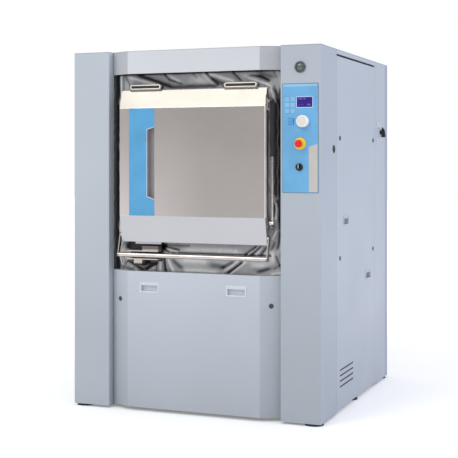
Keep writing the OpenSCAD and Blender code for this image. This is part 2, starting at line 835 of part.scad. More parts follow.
// Cloth ring with its main folds, as one closed skin
module bellows() color(grey_cloth) {
    ring = 4 * bellows_steps;
    points = [for (skin = [0, 1], row = [0:bellows_rows - 1], i = [0:ring - 1])
        let (side = floor(i / bellows_steps), part = i % bellows_steps / bellows_steps,
            rect = bellows_rect(row),
            p = edge_point(side, part, rect[0], rect[1], rect[2]))
        [p[0], -bellows_depth(row, side, part) - (skin == 0 ? cloth_t : 0), p[1]]];
    skin_n = bellows_rows * ring;
    quads = concat(
        [for (row = [0:bellows_rows - 2], i = [0:ring - 1])
            let (j = (i + 1) % ring)
            [row * ring + i, (row + 1) * ring + i, (row + 1) * ring + j, row * ring + j]],
        [for (row = [0:bellows_rows - 2], i = [0:ring - 1])
            let (j = (i + 1) % ring)
            [skin_n + row * ring + i, skin_n + row * ring + j,
                skin_n + (row + 1) * ring + j, skin_n + (row + 1) * ring + i]],
        [for (i = [0:ring - 1])
            let (j = (i + 1) % ring)
            [i, j, skin_n + j, skin_n + i]],
        [for (i = [0:ring - 1])
            let (j = (i + 1) % ring, last = (bellows_rows - 1) * ring)
            [last + i, skin_n + last + i, skin_n + last + j, last + j]]);
    polyhedron(points = points, faces = [for (q = quads, k = [0, 1])
        k == 0 ? [q[0], q[1], q[2]] : [q[0], q[2], q[3]]]);
}

module front_bellows() bellows();
module rear_bellows() clean_side() bellows();

// Box of the controls and the motor's inverter, fixed to the portal upright behind the fascia
module electrical_box() color([0.6, 0.62, 0.64]) {
    x0 = portal_x + portal_w + seat_gap;
    y0 = beam_w - frame_y + seat_gap;
    block([x0, y0, fascia_z - 30], [frame_x - 6, y0 + box_d, fascia_z + fascia_h + 20]);
    for (z = [fascia_z + 40, fascia_z + 260, fascia_z + 480])
        block([x0 + 30, y0 + box_d, z], [x0 + 120, y0 + box_d + 12, z + 60]);
}

// Rubber air springs between the base and the tub's feet
module air_springs() color(black) for (x = [-spring_x, spring_x], y = [-spring_y, spring_y])
    translate([x, y, base_top]) rotate_extrude() {
        height = spring_h - seat_gap;
        neck = spring_r - 18;
        lobe = (height - 24) / 4;
        difference() {
            union() {
                square([neck, height]);
                square([spring_r - 4, 12]);
                translate([0, height - 12]) square([spring_r - 4, 12]);
                for (i = [0, 1]) translate([spring_r - lobe, 12 + lobe + i * 2 * lobe])
                    intersection() {
                        circle(r = lobe);
                        translate([0, -lobe + 0.5]) square([lobe, 2 * lobe - 1]);
                    }
                for (i = [0, 1]) translate([neck - 1, 12.5 + i * 2 * lobe])
                    square([spring_r - lobe - neck + 1, 2 * lobe - 1]);
            }
            translate([-spring_r, 20]) square([spring_r + 40, height - 40]);
        }
    }

// Tub wall with its two rectangular door necks and their flanges, and the holes of the valves
module tub_shell() color(stainless) translate([0, 0, tub_z]) difference() {
    union() {
        rod_x(tub_r, -tub_len / 2, tub_len / 2);
        along_y(-flange_y, flange_y) square([neck_w + 2 * neck_t, neck_h + 2 * neck_t], center = true);
        both_sides() along_y(-flange_y, flange_t - flange_y) rounded(flange_w, flange_h, 12);
    }
    rod_x(tub_r - tub_t, -tub_len / 2 - over, tub_len / 2 + over);
    along_y(-flange_y - over, flange_y + over) square([neck_w, neck_h], center = true);
    translate([0, 0, -tub_r - over]) cylinder(r = drain_r, h = 40);
    for (x = valve_places) translate([x, 0, tub_r - 40]) cylinder(r = valve_r, h = 60);
}

// Place of the feet above the tub's axis
foot_plate_z = spring_top - tub_z;

// Outline of an end plate: a disc standing on a lower plate
module end_outline() {
    circle(r = tub_r + 15, $fn = 96);
    polygon([[-spring_y - foot_plate_w / 2, foot_plate_z], [spring_y + foot_plate_w / 2, foot_plate_z],
        [tub_r * 0.76, -300], [-tub_r * 0.76, -300]]);
}

// End plates with ribs, feet and the holes for the shafts
module tub_ends() color(stainless) translate([0, 0, tub_z]) for (side = [-1, 1]) {
    x_in = tub_len / 2;
    mirror([side < 0 ? 1 : 0, 0, 0]) difference() {
        union() {
            along_x(x_in, x_in + end_t) end_outline();
            for (a = [0:45:315]) rotate([a, 0, 0])
                block([x_in, 165, -5], [x_in + end_t + 26, tub_r - 6, 5]);
            for (y = [-spring_y, spring_y]) {
                block([spring_x - foot_plate_w / 2, y - foot_plate_w / 2, foot_plate_z],
                    [spring_x + foot_plate_w / 2, y + foot_plate_w / 2, foot_plate_z + foot_plate_t]);
                for (edge = [-1, 1])
                    translate([0, y + edge * (foot_plate_w / 2 - 12) - 5, 0]) along_y(0, 10)
                        polygon([[x_in, foot_plate_z + 5], [spring_x + foot_plate_w / 2 - 6, foot_plate_z + 5],
                            [x_in + end_t - 1, foot_plate_z + 110], [x_in, foot_plate_z + 110]]);
            }
        }
        rod_x(shaft_r + 12, x_in - over, x_in + end_t + over);
        along_x(x_in - over, x_in + end_t + 2) difference() {
            polygon([[-220, foot_plate_z + 60], [150, foot_plate_z + 60], [120, -620], [-200, -620]]);
            circle(r = tub_r + 20);
        }
        if (side > 0) translate([0, motor_y, motor_z - tub_z])
            rod_x(motor_shaft_r + 15, x_in - over, x_in + end_t + over);
    }
}

// Rubber seals round the neck mouths
module door_seals() color(black) both_sides() translate([0, 0, tub_z]) {
    lip_y = pan_back_y - seat_gap;
    difference() {
        union() {
            along_y(-flange_y - 8, -flange_y) rounded(neck_w + 2 * seal_out, neck_h + 2 * seal_out, 14);
            along_y(-lip_y, -flange_y - 7)
                rounded(neck_w + 2 * seal_out - 12, neck_h + 2 * seal_out - 12, 12);
        }
        along_y(-lip_y - over, over - flange_y) rounded(neck_w + 6, neck_h + 6, 8);
    }
}

// Hinge arms and strut bracket on the tub's flange
module door_brackets() color(stainless) both_sides() {
    arm_base = tub_z + neck_h / 2 + seal_out + 1;
    for (x = [-hinge_x, hinge_x], s = [-1, 1])
        translate([x + s * (hinge_w / 2 - 30) - ear_t / 2, 0, 0]) along_x(0, ear_t) difference() {
            union() {
                polygon([[-flange_y, arm_base], [-flange_y - 8, arm_base], [-flange_y - 12, hinge_z - 12],
                    [-hinge_y, hinge_z - 12], [-hinge_y, hinge_z + 12], [-flange_y, hinge_z + 12]]);
                translate([-hinge_y, hinge_z]) circle(r = 13);
            }
            translate([-hinge_y, hinge_z]) circle(r = pin_r + run_gap);
        }
    block([neck_w / 2 + seal_out + 1, -flange_y - 6, strut_foot_z - 28],
        [strut_x - eye_w / 2 - 1, -flange_y, strut_foot_z + 28]);
    along_x(strut_x - eye_w / 2 - 7, strut_x - eye_w / 2 - 1) union() {
        translate([-strut_y, strut_foot_z]) circle(r = 14);
        polygon([[-strut_y, strut_foot_z - 14], [-strut_y, strut_foot_z + 14],
            [-flange_y, strut_foot_z + 28], [-flange_y, strut_foot_z - 28]]);
    }
    translate([0, -strut_y, strut_foot_z]) {
        rod_x(stud_r, strut_x - eye_w / 2 - 7, strut_x + eye_w / 2 + 4);
        rod_x(9, strut_x + eye_w / 2 + 1, strut_x + eye_w / 2 + 4);
    }
}

// Long hinge pins with heads
module hinge_pins() color("silver") both_sides() for (x = [-hinge_x, hinge_x])
    translate([x, -hinge_y, hinge_z]) {
        rod_x(pin_r, -hinge_w / 2 - 4, hinge_w / 2 + 4);
        rod_x(pin_r + 4, hinge_w / 2 + 0.6, hinge_w / 2 + 5);
        rod_x(pin_r + 4, -hinge_w / 2 - 5, -hinge_w / 2 - 0.6);
    }

// Lock under the door: two jaws round the pull bar, a bolt guide below and a switch block above
module lock_housings() color(stainless) both_sides() {
    x0 = -bolt_x - lock_w / 2 + 26;
    x1 = x0 + lock_w;
    difference() {
        union() {
            block([x0, -flange_y - 6, jaw_bottom - jaw_t - plate_drop],
                [x1, -flange_y, tub_z - neck_h / 2 - seal_out - seal_clear]);
            block([x0, -jaw_front, jaw_bottom - jaw_t], [x1, -flange_y, jaw_bottom]);
            block([x0, -jaw_front, jaw_top], [x1, -flange_y, jaw_top + jaw_t]);
            block([-bolt_x - 25, -bolt_y - 20, jaw_bottom - jaw_t - guide_h],
                [-bolt_x + 25, -flange_y - 3, jaw_bottom - 2]);
            block([x1 - 95, -jaw_front + 5, jaw_top + 2], [x1, -flange_y - 12, jaw_top + jaw_t + 24]);
        }
        translate([-bolt_x, -bolt_y, jaw_bottom - jaw_t - guide_h - over])
            cylinder(r = bolt_r + run_gap, h = jaw_gap + 2 * jaw_t + guide_h + 2);
    }
}

// Bolt that rises through the bail's striker
module lock_bolt() color("silver") translate([-bolt_x, -bolt_y, jaw_bottom - bolt_len - 2])
    cylinder(r = bolt_r, h = bolt_len);

module front_lock_bolt() lock_bolt();
module rear_lock_bolt() clean_side() lock_bolt();

// Flanged bearing units on the end plates
module bearing_units() color("slategray") translate([0, 0, tub_z]) for (side = [0, 1])
    mirror([side, 0, 0]) {
        x0 = tub_len / 2 + end_t;
        difference() {
            union() {
                turned_x(x0) polygon([[shaft_r + run_gap, 0], [unit_r, 0], [unit_r, 16],
                    [unit_r - 10, 20], [unit_neck_r, 26], [unit_cap_r + 4, bearing_len - 20],
                    [unit_cap_r, bearing_len - 14], [unit_cap_r, bearing_len],
                    [shaft_r + run_gap, bearing_len]]);
                for (a = [22.5:45:337.5]) rotate([a, 0, 0])
                    translate([0, 0, -6]) along_y(unit_cap_r + 4, unit_r - 14)
                        polygon([[x0 + 15, 0], [x0 + 24, 0], [x0 + 24, 12], [x0 + 15, 12]]);
            }
            for (a = [0:45:315]) rotate([a, 0, 0]) translate([0, (unit_r + unit_neck_r) / 2, 0])
                rod_x(9, x0 - over, x0 + 30);
        }
    }

// Finned motor with its terminal box, bolted to the right end plate
module drive_motor() color([0.3, 0.36, 0.42]) translate([0, motor_y, motor_z]) {
    x1 = tub_len / 2;
    difference() {
        union() {
            turned_x(x1 - motor_len) polygon([[0, 0], [motor_r - 20, 0], [motor_r - 10, 12],
                [motor_r - 10, motor_len - 12], [motor_r + 20, motor_len - 12], [motor_r + 20, motor_len],
                [0, motor_len]]);
            for (a = [15:15:345]) if (abs(a - 90) > 20) rotate([a, 0, 0])
                block([x1 - motor_len + 24, motor_r - 14, -2.5], [x1 - 40, motor_r, 2.5]);
            block([x1 - 260, -60, motor_r - 30], [x1 - 120, 60, motor_r + 40]);
        }
        rod_x(motor_shaft_r + run_gap, x1 - 120, x1 + over);
    }
}

// Cross-section of a grooved pulley, from its bore outwards
module pulley_profile(r, hub_r, bore_r) difference() {
    union() {
        square([r, pulley_w]);
    }
    translate([-over, -over]) square([bore_r + over, pulley_w + 2 * over]);
    for (i = [0:belt_count - 1])
        translate([r, pulley_w / 2 + (i - (belt_count - 1) / 2) * belt_pitch])
            polygon([[over, -belt_w / 2 - 0.6], [-belt_deep - 2, -belt_w / 2 + 3.4],
                [-belt_deep - 2, belt_w / 2 - 3.4], [over, belt_w / 2 + 0.6]]);
    if (hub_r > 0) for (z = [-over, pulley_w / 2 + 8])
        translate([hub_r, z]) square([r - hub_r - 34, pulley_w / 2 - 8 + over]);
}

// Motor pulley with the motor's shaft
module motor_pulley() color("slategray") translate([0, motor_y, motor_z]) {
    turned_x(pulley_x) pulley_profile(motor_pulley_r, 0, motor_shaft_r - 1);
    rod_x(motor_shaft_r, tub_len / 2 - 110, pulley_x + pulley_w);
}

// Outline of one belt's cross-section, from its inside out
module belt_section() translate([-belt_deep, 0])
    polygon([[0.4, -belt_w / 2 + 3.6], [belt_deep + 2, -belt_w / 2],
        [belt_deep + 2, belt_w / 2], [0.4, belt_w / 2 - 3.6]]);

// Belts round both pulleys: two arcs joined by two straight runs
module drive_belts() color(black) translate([0, 0, tub_z]) rotate([-belt_angle, 0, 0])
    for (i = [0:belt_count - 1])
        translate([pulley_x + pulley_w / 2 + (i - (belt_count - 1) / 2) * belt_pitch, 0, 0])
            rotate([90, 0, 90]) {
            run = sqrt(pow(belt_span, 2) - pow(drum_pulley_r - motor_pulley_r, 2));
            rotate([0, 0, -belt_lean]) rotate_extrude(angle = 180 + 2 * belt_lean)
                translate([drum_pulley_r, 0]) belt_section();
            translate([0, -belt_span, 0]) rotate([0, 0, 180 + belt_lean])
                rotate_extrude(angle = 180 - 2 * belt_lean) translate([motor_pulley_r, 0]) belt_section();
            for (s = [-1, 1]) rotate([0, 0, -s * belt_lean]) translate([s * drum_pulley_r, 0, 0])
                mirror([s < 0 ? 1 : 0, 0, 0]) rotate([90, 0, 0]) linear_extrude(run) belt_section();
        }

// Drain valve under the tub and two inlet valves on top of it
module water_valves() color([0.45, 0.5, 0.42]) translate([0, 0, tub_z]) {
    translate([0, 0, -tub_r - drain_drop]) {
        rotate_extrude() polygon([[drain_r - 6, 0], [drain_r - 0.1, 0], [drain_r - 0.1, drain_spigot],
            [drain_body_r, drain_spigot + 10], [drain_body_r, drain_spigot + 110],
            [drain_r - 0.1, drain_spigot + 120], [drain_r - 0.1, drain_drop + 8],
            [drain_r - 6, drain_drop + 8]]);
        block([drain_body_r - 1, -40, drain_spigot + 20], [drain_reach, 40, drain_spigot + 100]);
    }
    for (x = valve_places) translate([x, 0, tub_r - 8]) difference() {
        union() {
            cylinder(r = valve_r - 0.1, h = valve_spigot);
            translate([-28, -34, valve_spigot - 8]) cube([56, 90, 22]);
            translate([0, 0, valve_spigot + 10]) cylinder(r = 16, h = 24);
        }
        translate([0, 0, -over]) cylinder(r = 9, h = valve_spigot + 36);
    }
}

// Ring sector of the drum's wall between two angles about the front direction
module wall_sector(r_in, r_out, a0, a1) difference() {
    intersection() {
        circle(r = r_out, $fn = 128);
        polygon([[0, 0], for (a = [a0:(a1 - a0) / 2:a1]) 2 * r_out * [-cos(a), sin(a)]]);
    }
    circle(r = r_in, $fn = 128);
}

// Drum wall with the loading opening, lifting ribs and the lugs of its two leaves
module drum_shell() color(stainless) translate([0, 0, tub_z]) {
    difference() {
        rod_x(drum_r, -drum_len / 2, drum_len / 2);
        rod_x(drum_r - drum_t, -drum_len / 2 - over, drum_len / 2 + over);
        block([-drum_door_w / 2, -drum_r - over, -drum_door_h / 2],
            [drum_door_w / 2, -drum_r / 2, drum_door_h / 2]);
    }
    for (i = [1:lifter_count]) rotate([-i * 360 / (lifter_count + 1), 0, 0])
        along_x(-drum_len / 2 + 2, drum_len / 2 - 2) intersection() {
            circle(r = drum_r - drum_t / 2, $fn = 128);
            polygon([[-drum_r, -70], [lifter_h - drum_r, -14], [lifter_h + 8 - drum_r, 0],
                [lifter_h - drum_r, 14], [-drum_r, 70]]);
        }
    for (s = [-1, 1], x = [-300, 0, 300]) rotate([-s * leaf_axis, 0, 0]) translate([x - 6, 0, 0]) {
        along_x(0, 12) difference() {
            polygon([[-drum_r + 2, 0.6 * s], [-drum_r + 2, 16 * s], [-leaf_axis_r - 9, 8 * s],
                [-leaf_axis_r - 9, -4 * s], [-leaf_axis_r + 6, -4 * s]]);
            translate([-leaf_axis_r, 0]) circle(r = leaf_pin_r - 1);
        }
    }
    for (s = [-1, 1]) rotate([-s * leaf_axis, 0, 0]) translate([0, -leaf_axis_r, 0])
        rod_x(leaf_pin_r, -306, 306);
}

// Drum end discs with pressed rings and the stub shafts
module drum_ends() color(stainless) translate([0, 0, tub_z]) for (side = [0, 1]) mirror([side, 0, 0]) {
    shaft_end = side == 0 ? pulley_x + pulley_w : tub_len / 2 + end_t + bearing_len + 8;
    turned_x(drum_len / 2) polygon([[0, 0], [drum_r, 0], [drum_r, 6], [ring_r1 + 8, 6], [ring_r1, 16],
        [ring_r0 + 8, 16], [ring_r0, 6], [cone_r, 6], [cone_r - 60, 30], [shaft_r, 34],
        [shaft_r, shaft_end - drum_len / 2], [0, shaft_end - drum_len / 2]]);
}

// Large grooved pulley with a spoked web
module drum_pulley() color("slategray") translate([0, 0, tub_z]) difference() {
    turned_x(pulley_x) pulley_profile(drum_pulley_r, 95, shaft_r + run_gap);
    for (a = [0:60:300]) rotate([a, 0, 0]) translate([0, (drum_pulley_r + 60) / 2, 0])
        rod_x(55, pulley_x - over, pulley_x + pulley_w + over);
}

// One leaf of the drum's door, s = 1 for the upper one and -1 for the lower one
module drum_leaf(s) color(stainless) translate([0, 0, tub_z]) {
    along_x(-drum_door_w / 2 + 2, drum_door_w / 2 - 2)
        wall_sector(drum_r - drum_t, drum_r, s * leaf_gap, s * (drum_edge - 0.35));
    for (x = [-150, 150]) translate([x - 30, 0, 0]) rotate([-s * leaf_axis, 0, 0])
        along_x(0, 60) difference() {
        union() {
            translate([-leaf_axis_r, 0]) circle(r = 9.5);
            polygon([[-drum_r + 1, -s * 40], [-drum_r - 5, -s * 40], [-leaf_axis_r - 7, -s * 6],
                [-leaf_axis_r, s * 0], [2.6 - leaf_axis_r + 6, -s * 2], [-drum_r + 1, -s * 11]]);
        }
        translate([-leaf_axis_r, 0]) circle(r = leaf_pin_r + run_gap);
    }
    along_x(-60, 60) rotate(-s * 1.2) translate([-drum_r, 0]) square([14, 4], center = true);
}

module drum_door_upper() drum_leaf(1);
module drum_door_lower() drum_leaf(-1);

// Door profile in Y and Z: sloped band, flat face, sloped band
module door_profile(back) polygon([[-back, door_bottom], [slope_d - door_y, door_bottom],
    [-door_y, door_bottom + bottom_slope_h], [-door_y, door_top - top_slope_h],
    [slope_d - door_y, door_top], [-back, door_top]]);

// Outline of the grip recess in X and Z, its long edge on the right
module grip_outline(grow) offset(delta = grow) translate([-grip_x, grip_z])
    polygon([[0, -grip_h / 2], [0, grip_h / 2], [-grip_w, grip_h / 2 - grip_slant],
        [-grip_w, grip_slant - grip_h / 2]]);

// Outer skin of a door with hinge ears, strut plate, keeper tab and bail bosses
module door_skin() color(stainless) {
    difference() {
        union() {
            difference() {
                along_x(-door_w / 2, door_w / 2) door_profile(skin_back_y);
                along_x(skin_t - door_w / 2, door_w / 2 - skin_t) offset(delta = -skin_t)
                    door_profile(skin_back_y - 20);
            }
            for (s = [-1, 1]) translate([0, -bail_y, bail_z])
                rod_x(arm_w / 2 - 1, s > 0 ? door_w / 2 - 1 : -door_w / 2 - boss_t,
                    s > 0 ? door_w / 2 + boss_t : 1 - door_w / 2);
        }
        along_y(-door_y - over, 10 - door_y) grip_outline(0);
        for (s = [-1, 1]) translate([0, -bail_y, bail_z])
            rod_x(8 + run_gap, s > 0 ? door_w / 2 - 6 : -door_w / 2 - boss_t - over,
                s > 0 ? door_w / 2 + boss_t + over : 6 - door_w / 2);
    }
    for (x = [-hinge_x, hinge_x]) {
        block([x - hinge_w / 2, -hinge_y - 14, door_top - 1], [x + hinge_w / 2, -skin_back_y, door_top + 4]);
        for (s = [-1, 1]) along_x(x + s * (hinge_w / 2 - ear_t / 4) - ear_t / 4,
                x + s * (hinge_w / 2 - ear_t / 4) + ear_t / 4) difference() {
            union() {
                translate([-hinge_y, hinge_z]) circle(r = 12);
                translate([-hinge_y - 12, door_top]) square([24, hinge_rise]);
            }
            translate([-hinge_y, hinge_z]) circle(r = pin_r + run_gap);
        }
    }
    block([door_w / 2 - 1, -strut_y - 10, strut_top_z - 34], [door_w / 2 + 4, -skin_back_y, strut_top_z + 30]);
    translate([0, -strut_y, strut_top_z]) rod_x(stud_r + 1, door_w / 2, strut_x - strut_r - 2 * seat_gap);
    block([keeper_x, -skin_back_y - 10, door_bottom - 12],
        [keeper_x + keeper_w, -skin_back_y - 7, door_bottom + 1]);
}

// Inner pan of a door with the grip's cup behind the skin
module door_pan() color([0.75, 0.75, 0.74]) {
    pan_x = door_w / 2 - skin_t - seat_gap;
    z0 = door_bottom + skin_t + seat_gap;
    z1 = door_top - skin_t - seat_gap;
    pan_front = door_y - slope_d - 5;
    cup_front = door_y - skin_t - seat_gap;
    cup_back = door_y - grip_depth;
    difference() {
        union() {
            difference() {
                block([-pan_x, -pan_front, z0], [pan_x, -pan_back_y, z1]);
                block([pan_t - pan_x, -pan_front - over, z0 + pan_t],
                    [pan_x - pan_t, -pan_back_y - pan_t, z1 - pan_t]);
            }
            along_y(-cup_front, 2 - cup_back) grip_outline(2);
            block([-pan_x + 40, -cup_back, grip_z - 20], [pan_x - 40, -pan_back_y - 1, grip_z + 20]);
        }
        along_y(-cup_front - over, -cup_back) grip_outline(0);
    }
}

module front_door_skin() door_skin();
module front_door_pan() door_pan();
module rear_door_skin() clean_side() door_skin();
module rear_door_pan() clean_side() door_pan();

// Pull bar with its two arms and the striker for the lock bolt
module bail() color("silver") {
    dy = bar_y - bail_y;
    dz = bar_z - bail_z;
    reach = norm([dy, dz]);
    lean = atan2(-dy, -dz);
    difference() {
        union() {
            translate([0, -bar_y, bar_z]) rod_x(bar_r, -arm_x - arm_t - bar_end, arm_x + arm_t + bar_end);
            for (s = [-1, 1]) {
                along_x(s > 0 ? arm_x : -arm_x - arm_t, s > 0 ? arm_x + arm_t : -arm_x)
                    translate([-bail_y, bail_z]) {
                        circle(r = arm_w / 2);
                        rotate(lean) translate([1 - arm_w / 2, -reach]) square([arm_w - 2, reach]);
                    }
                translate([0, -bail_y, bail_z])
                    rod_x(8, s > 0 ? door_w / 2 - skin_t : -arm_x - arm_t / 2,
                        s > 0 ? arm_x + arm_t / 2 : skin_t - door_w / 2);
            }
            block([-bolt_x - 25, -bar_y, bar_z - striker_t / 2],
                [-bolt_x + 25, 15 - bolt_y, bar_z + striker_t / 2]);
        }
        translate([-bolt_x, -bolt_y, bar_z - striker_t]) cylinder(r = bolt_r + 2, h = 2 * striker_t);
    }
}

module front_bail() bail();
module rear_bail() clean_side() bail();

// Cylinder of a gas strut with its upper eye
module strut_cylinder() color(black) {
    translate([strut_x, -strut_y, 0]) {
        difference() {
            translate([0, 0, strut_cyl_foot]) cylinder(r = strut_r, h = strut_cyl_top - strut_cyl_foot);
            translate([0, 0, strut_cyl_foot + strut_cap])
                cylinder(r = strut_r - 2, h = strut_cyl_top - strut_cyl_foot - 2 * strut_cap);
            translate([0, 0, strut_cyl_foot - over]) cylinder(r = rod_r + run_gap, h = strut_cap + 2);
        }
    }
    translate([0, -strut_y, strut_top_z]) difference() {
        rod_x(eye_r, strut_x - strut_r - seat_gap, strut_x + eye_w / 2);
        rod_x(stud_r + seat_gap, strut_x - strut_r - over, strut_x + eye_w / 2 + over);
    }
    translate([strut_x, -strut_y, strut_cyl_top - 1]) cylinder(r = 4, h = 6);
}

// Rod of a gas strut with its lower eye and its piston
module strut_rod() color("silver") {
    translate([strut_x, -strut_y, strut_foot_z + eye_r - 2])
        cylinder(r = rod_r, h = rod_top - strut_foot_z - eye_r + 2);
    translate([strut_x, -strut_y, rod_top - piston_h]) cylinder(r = strut_r - 2 - run_gap, h = piston_h);
    translate([0, -strut_y, strut_foot_z]) difference() {
        rod_x(eye_r, strut_x - eye_w / 2, strut_x + eye_w / 2);
        rod_x(stud_r + run_gap, strut_x - eye_w / 2 - over, strut_x + eye_w / 2 + over);
    }
}

module front_strut_cylinder() strut_cylinder();
module front_strut_rod() strut_rod();
module rear_strut_cylinder() clean_side() strut_cylinder();
module rear_strut_rod() clean_side() strut_rod();

place() base_frame();
place() levelling_feet();
place() upper_frame();
place() front_left_column();
place() front_right_column();
place() rear_columns();
place() headers();
place() lower_panels();
place() side_panels();
place() top_cover();
place() flush_pulls();
place() panel_locks();
place() control_fascia();
place() display_window();
place() program_key(0);  // program_key_1
place() program_key(1);  // program_key_2
place() program_key(2);  // program_key_3
place() program_key(3);  // program_key_4
place() program_key(4);  // program_key_5
place() program_key(5);  // program_key_6
place() control_knob();
place() estop_collars();
place() front_estop_button();
place() rear_estop_button();
place() selector_switch();
place() signal_lamp();
place() main_switch_plate();
place() main_switch_handle();
place() front_bellows();
place() rear_bellows();
place() electrical_box();
place() air_springs();
place() tub_shell();
place() tub_ends();
place() door_seals();
place() door_brackets();
place() hinge_pins();
place() lock_housings();
place() front_lock_bolt();
place() rear_lock_bolt();
place() bearing_units();
place() drive_motor();
place() motor_pulley();
place() drive_belts();
place() water_valves();
place() drum_shell();
place() drum_ends();
place() drum_pulley();
place() drum_door_upper();
place() drum_door_lower();
place() front_door_skin();
place() front_door_pan();
place() front_bail();
place() front_strut_cylinder();
place() front_strut_rod();
place() rear_door_skin();
place() rear_door_pan();
place() rear_bail();
place() rear_strut_cylinder();
place() rear_strut_rod();
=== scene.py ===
import json
import math
import bmesh
import bpy
from mathutils import Matrix, Vector


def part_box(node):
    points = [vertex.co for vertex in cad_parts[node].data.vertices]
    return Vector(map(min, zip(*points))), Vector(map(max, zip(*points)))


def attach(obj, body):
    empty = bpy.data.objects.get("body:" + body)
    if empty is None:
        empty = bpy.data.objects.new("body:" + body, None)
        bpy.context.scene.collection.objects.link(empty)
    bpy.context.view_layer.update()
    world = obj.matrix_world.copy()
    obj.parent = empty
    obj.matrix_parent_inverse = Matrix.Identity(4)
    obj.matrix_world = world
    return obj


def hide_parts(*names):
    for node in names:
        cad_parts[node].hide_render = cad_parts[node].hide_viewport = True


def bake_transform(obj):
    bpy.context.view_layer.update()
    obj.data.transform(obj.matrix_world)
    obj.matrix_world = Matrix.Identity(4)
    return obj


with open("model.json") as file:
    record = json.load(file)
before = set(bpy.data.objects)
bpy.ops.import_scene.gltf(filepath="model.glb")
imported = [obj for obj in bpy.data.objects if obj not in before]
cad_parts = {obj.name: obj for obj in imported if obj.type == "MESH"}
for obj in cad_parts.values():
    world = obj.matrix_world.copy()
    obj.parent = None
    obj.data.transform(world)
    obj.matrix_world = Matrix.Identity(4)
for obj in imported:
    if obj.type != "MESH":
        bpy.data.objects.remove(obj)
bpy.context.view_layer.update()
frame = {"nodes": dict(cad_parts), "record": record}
print("frame loaded")

# the machine's own middle lies a little left of the row frame's origin, because of the switch handle
bailLow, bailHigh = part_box("front_bail")
machineX = (bailLow.x + bailHigh.x) / 2


def spot(x, y, z):
    return Vector((machineX + x / 1000, y / 1000, z / 1000))


def tint(red, green, blue):
    # a colour as seen on screen, turned into the linear one that shaders take
    shares = [c / 255 for c in (red, green, blue)]
    linear = [c / 12.92 if c < 0.0405 else ((c + 0.055) / 1.055) ** 2.4 for c in shares]
    return (*linear, 1.0)


class Wire:
    # one output socket of a node, so that shader maths reads as plain sums
    def __init__(self, owner, socket):
        self.owner = owner
        self.socket = socket

    def sum(self, operation, first, second):
        return self.owner.node("ShaderNodeMath", {"operation": operation}, {0: first, 1: second})

    def __add__(self, other):
        return self.sum("ADD", self, other)

    def __radd__(self, other):
        return self.sum("ADD", other, self)

    def __sub__(self, other):
        return self.sum("SUBTRACT", self, other)

    def __rsub__(self, other):
        return self.sum("SUBTRACT", other, self)

    def __mul__(self, other):
        return self.sum("MULTIPLY", self, other)

    def __rmul__(self, other):
        return self.sum("MULTIPLY", other, self)


class Nodes:
    def __init__(self, holder):
        holder.use_nodes = True
        self.tree = holder.node_tree
        self.tree.nodes.clear()

    def node(self, kind, settings=None, inputs=None, output=0):
        made = self.tree.nodes.new(kind)
        for key, value in (settings or {}).items():
            setattr(made, key, value)
        for key, value in (inputs or {}).items():
            if isinstance(value, Wire):
                self.tree.links.new(value.socket, made.inputs[key])
            else:
                made.inputs[key].default_value = value
        return Wire(self, made.outputs[output]) if made.outputs else None


class Finish(Nodes):
    def __init__(self, name):
        self.material = bpy.data.materials.new(name)
        super().__init__(self.material)
        self.place = self.node("ShaderNodeTexCoord", output="Object")

    def axis(self, number):
        return self.node("ShaderNodeSeparateXYZ", None, {0: self.place}, number)

    def unsigned(self, value):
        return self.node("ShaderNodeMath", {"operation": "ABSOLUTE"}, {0: value})

    def noise(self, scale, stretch=(1, 1, 1), detail=2.0, rough=0.5):
        at = self.node("ShaderNodeMapping", None, {"Vector": self.place, "Scale": stretch})
        return self.node("ShaderNodeTexNoise", None,
                         {"Vector": at, "Scale": scale, "Detail": detail, "Roughness": rough})

    def mix(self, first, second, part):
        return self.node("ShaderNodeMix", {"data_type": "RGBA"}, {0: part, 6: first, 7: second}, 2)

    def between(self, value, low, high):
        return self.node("ShaderNodeMapRange", None,
                         {"Value": value, "From Min": low, "From Max": high})

    def bump(self, height, strength, distance=0.001):
        return self.node("ShaderNodeBump", None,
                         {"Height": height, "Strength": strength, "Distance": distance})

    def done(self, **inputs):
        named = {key.replace("_", " "): value for key, value in inputs.items()}
        shader = self.node("ShaderNodeBsdfPrincipled", None, named)
        self.node("ShaderNodeOutputMaterial", None, {"Surface": shader})
        return self.material


def darker(colour, share):
    return tuple(c * share for c in colour[:3]) + (1.0,)


black = (0, 0, 0, 1)

# where a finish changes, in metres in the row frame: where each zone begins and where it is full
paintZones = {"topShadeLine": (1.9665, 1.968), "baySideShade": (0.3855, 0.3865), "rearEndShade": (0.64, 0.72),
              "rearSideShade": (0.716, 0.719)}
doorZones = {"paleAcross": (-0.43, 0.08), "paleHeight": (1.08, 1.6), "topSlope": (1.6575, 1.6585),
             "lowSlope": (1.0685, 1.0695)}
lockZones = {"lowEdge": (0.806, 0.815), "topEdge": (0.881, 0.889), "front": (0.681, 0.694)}
bailZones = {"barEnd": (0.426, 0.431), "barTop": (0.8635, 0.8655), "barUnder": (0.844, 0.847)}


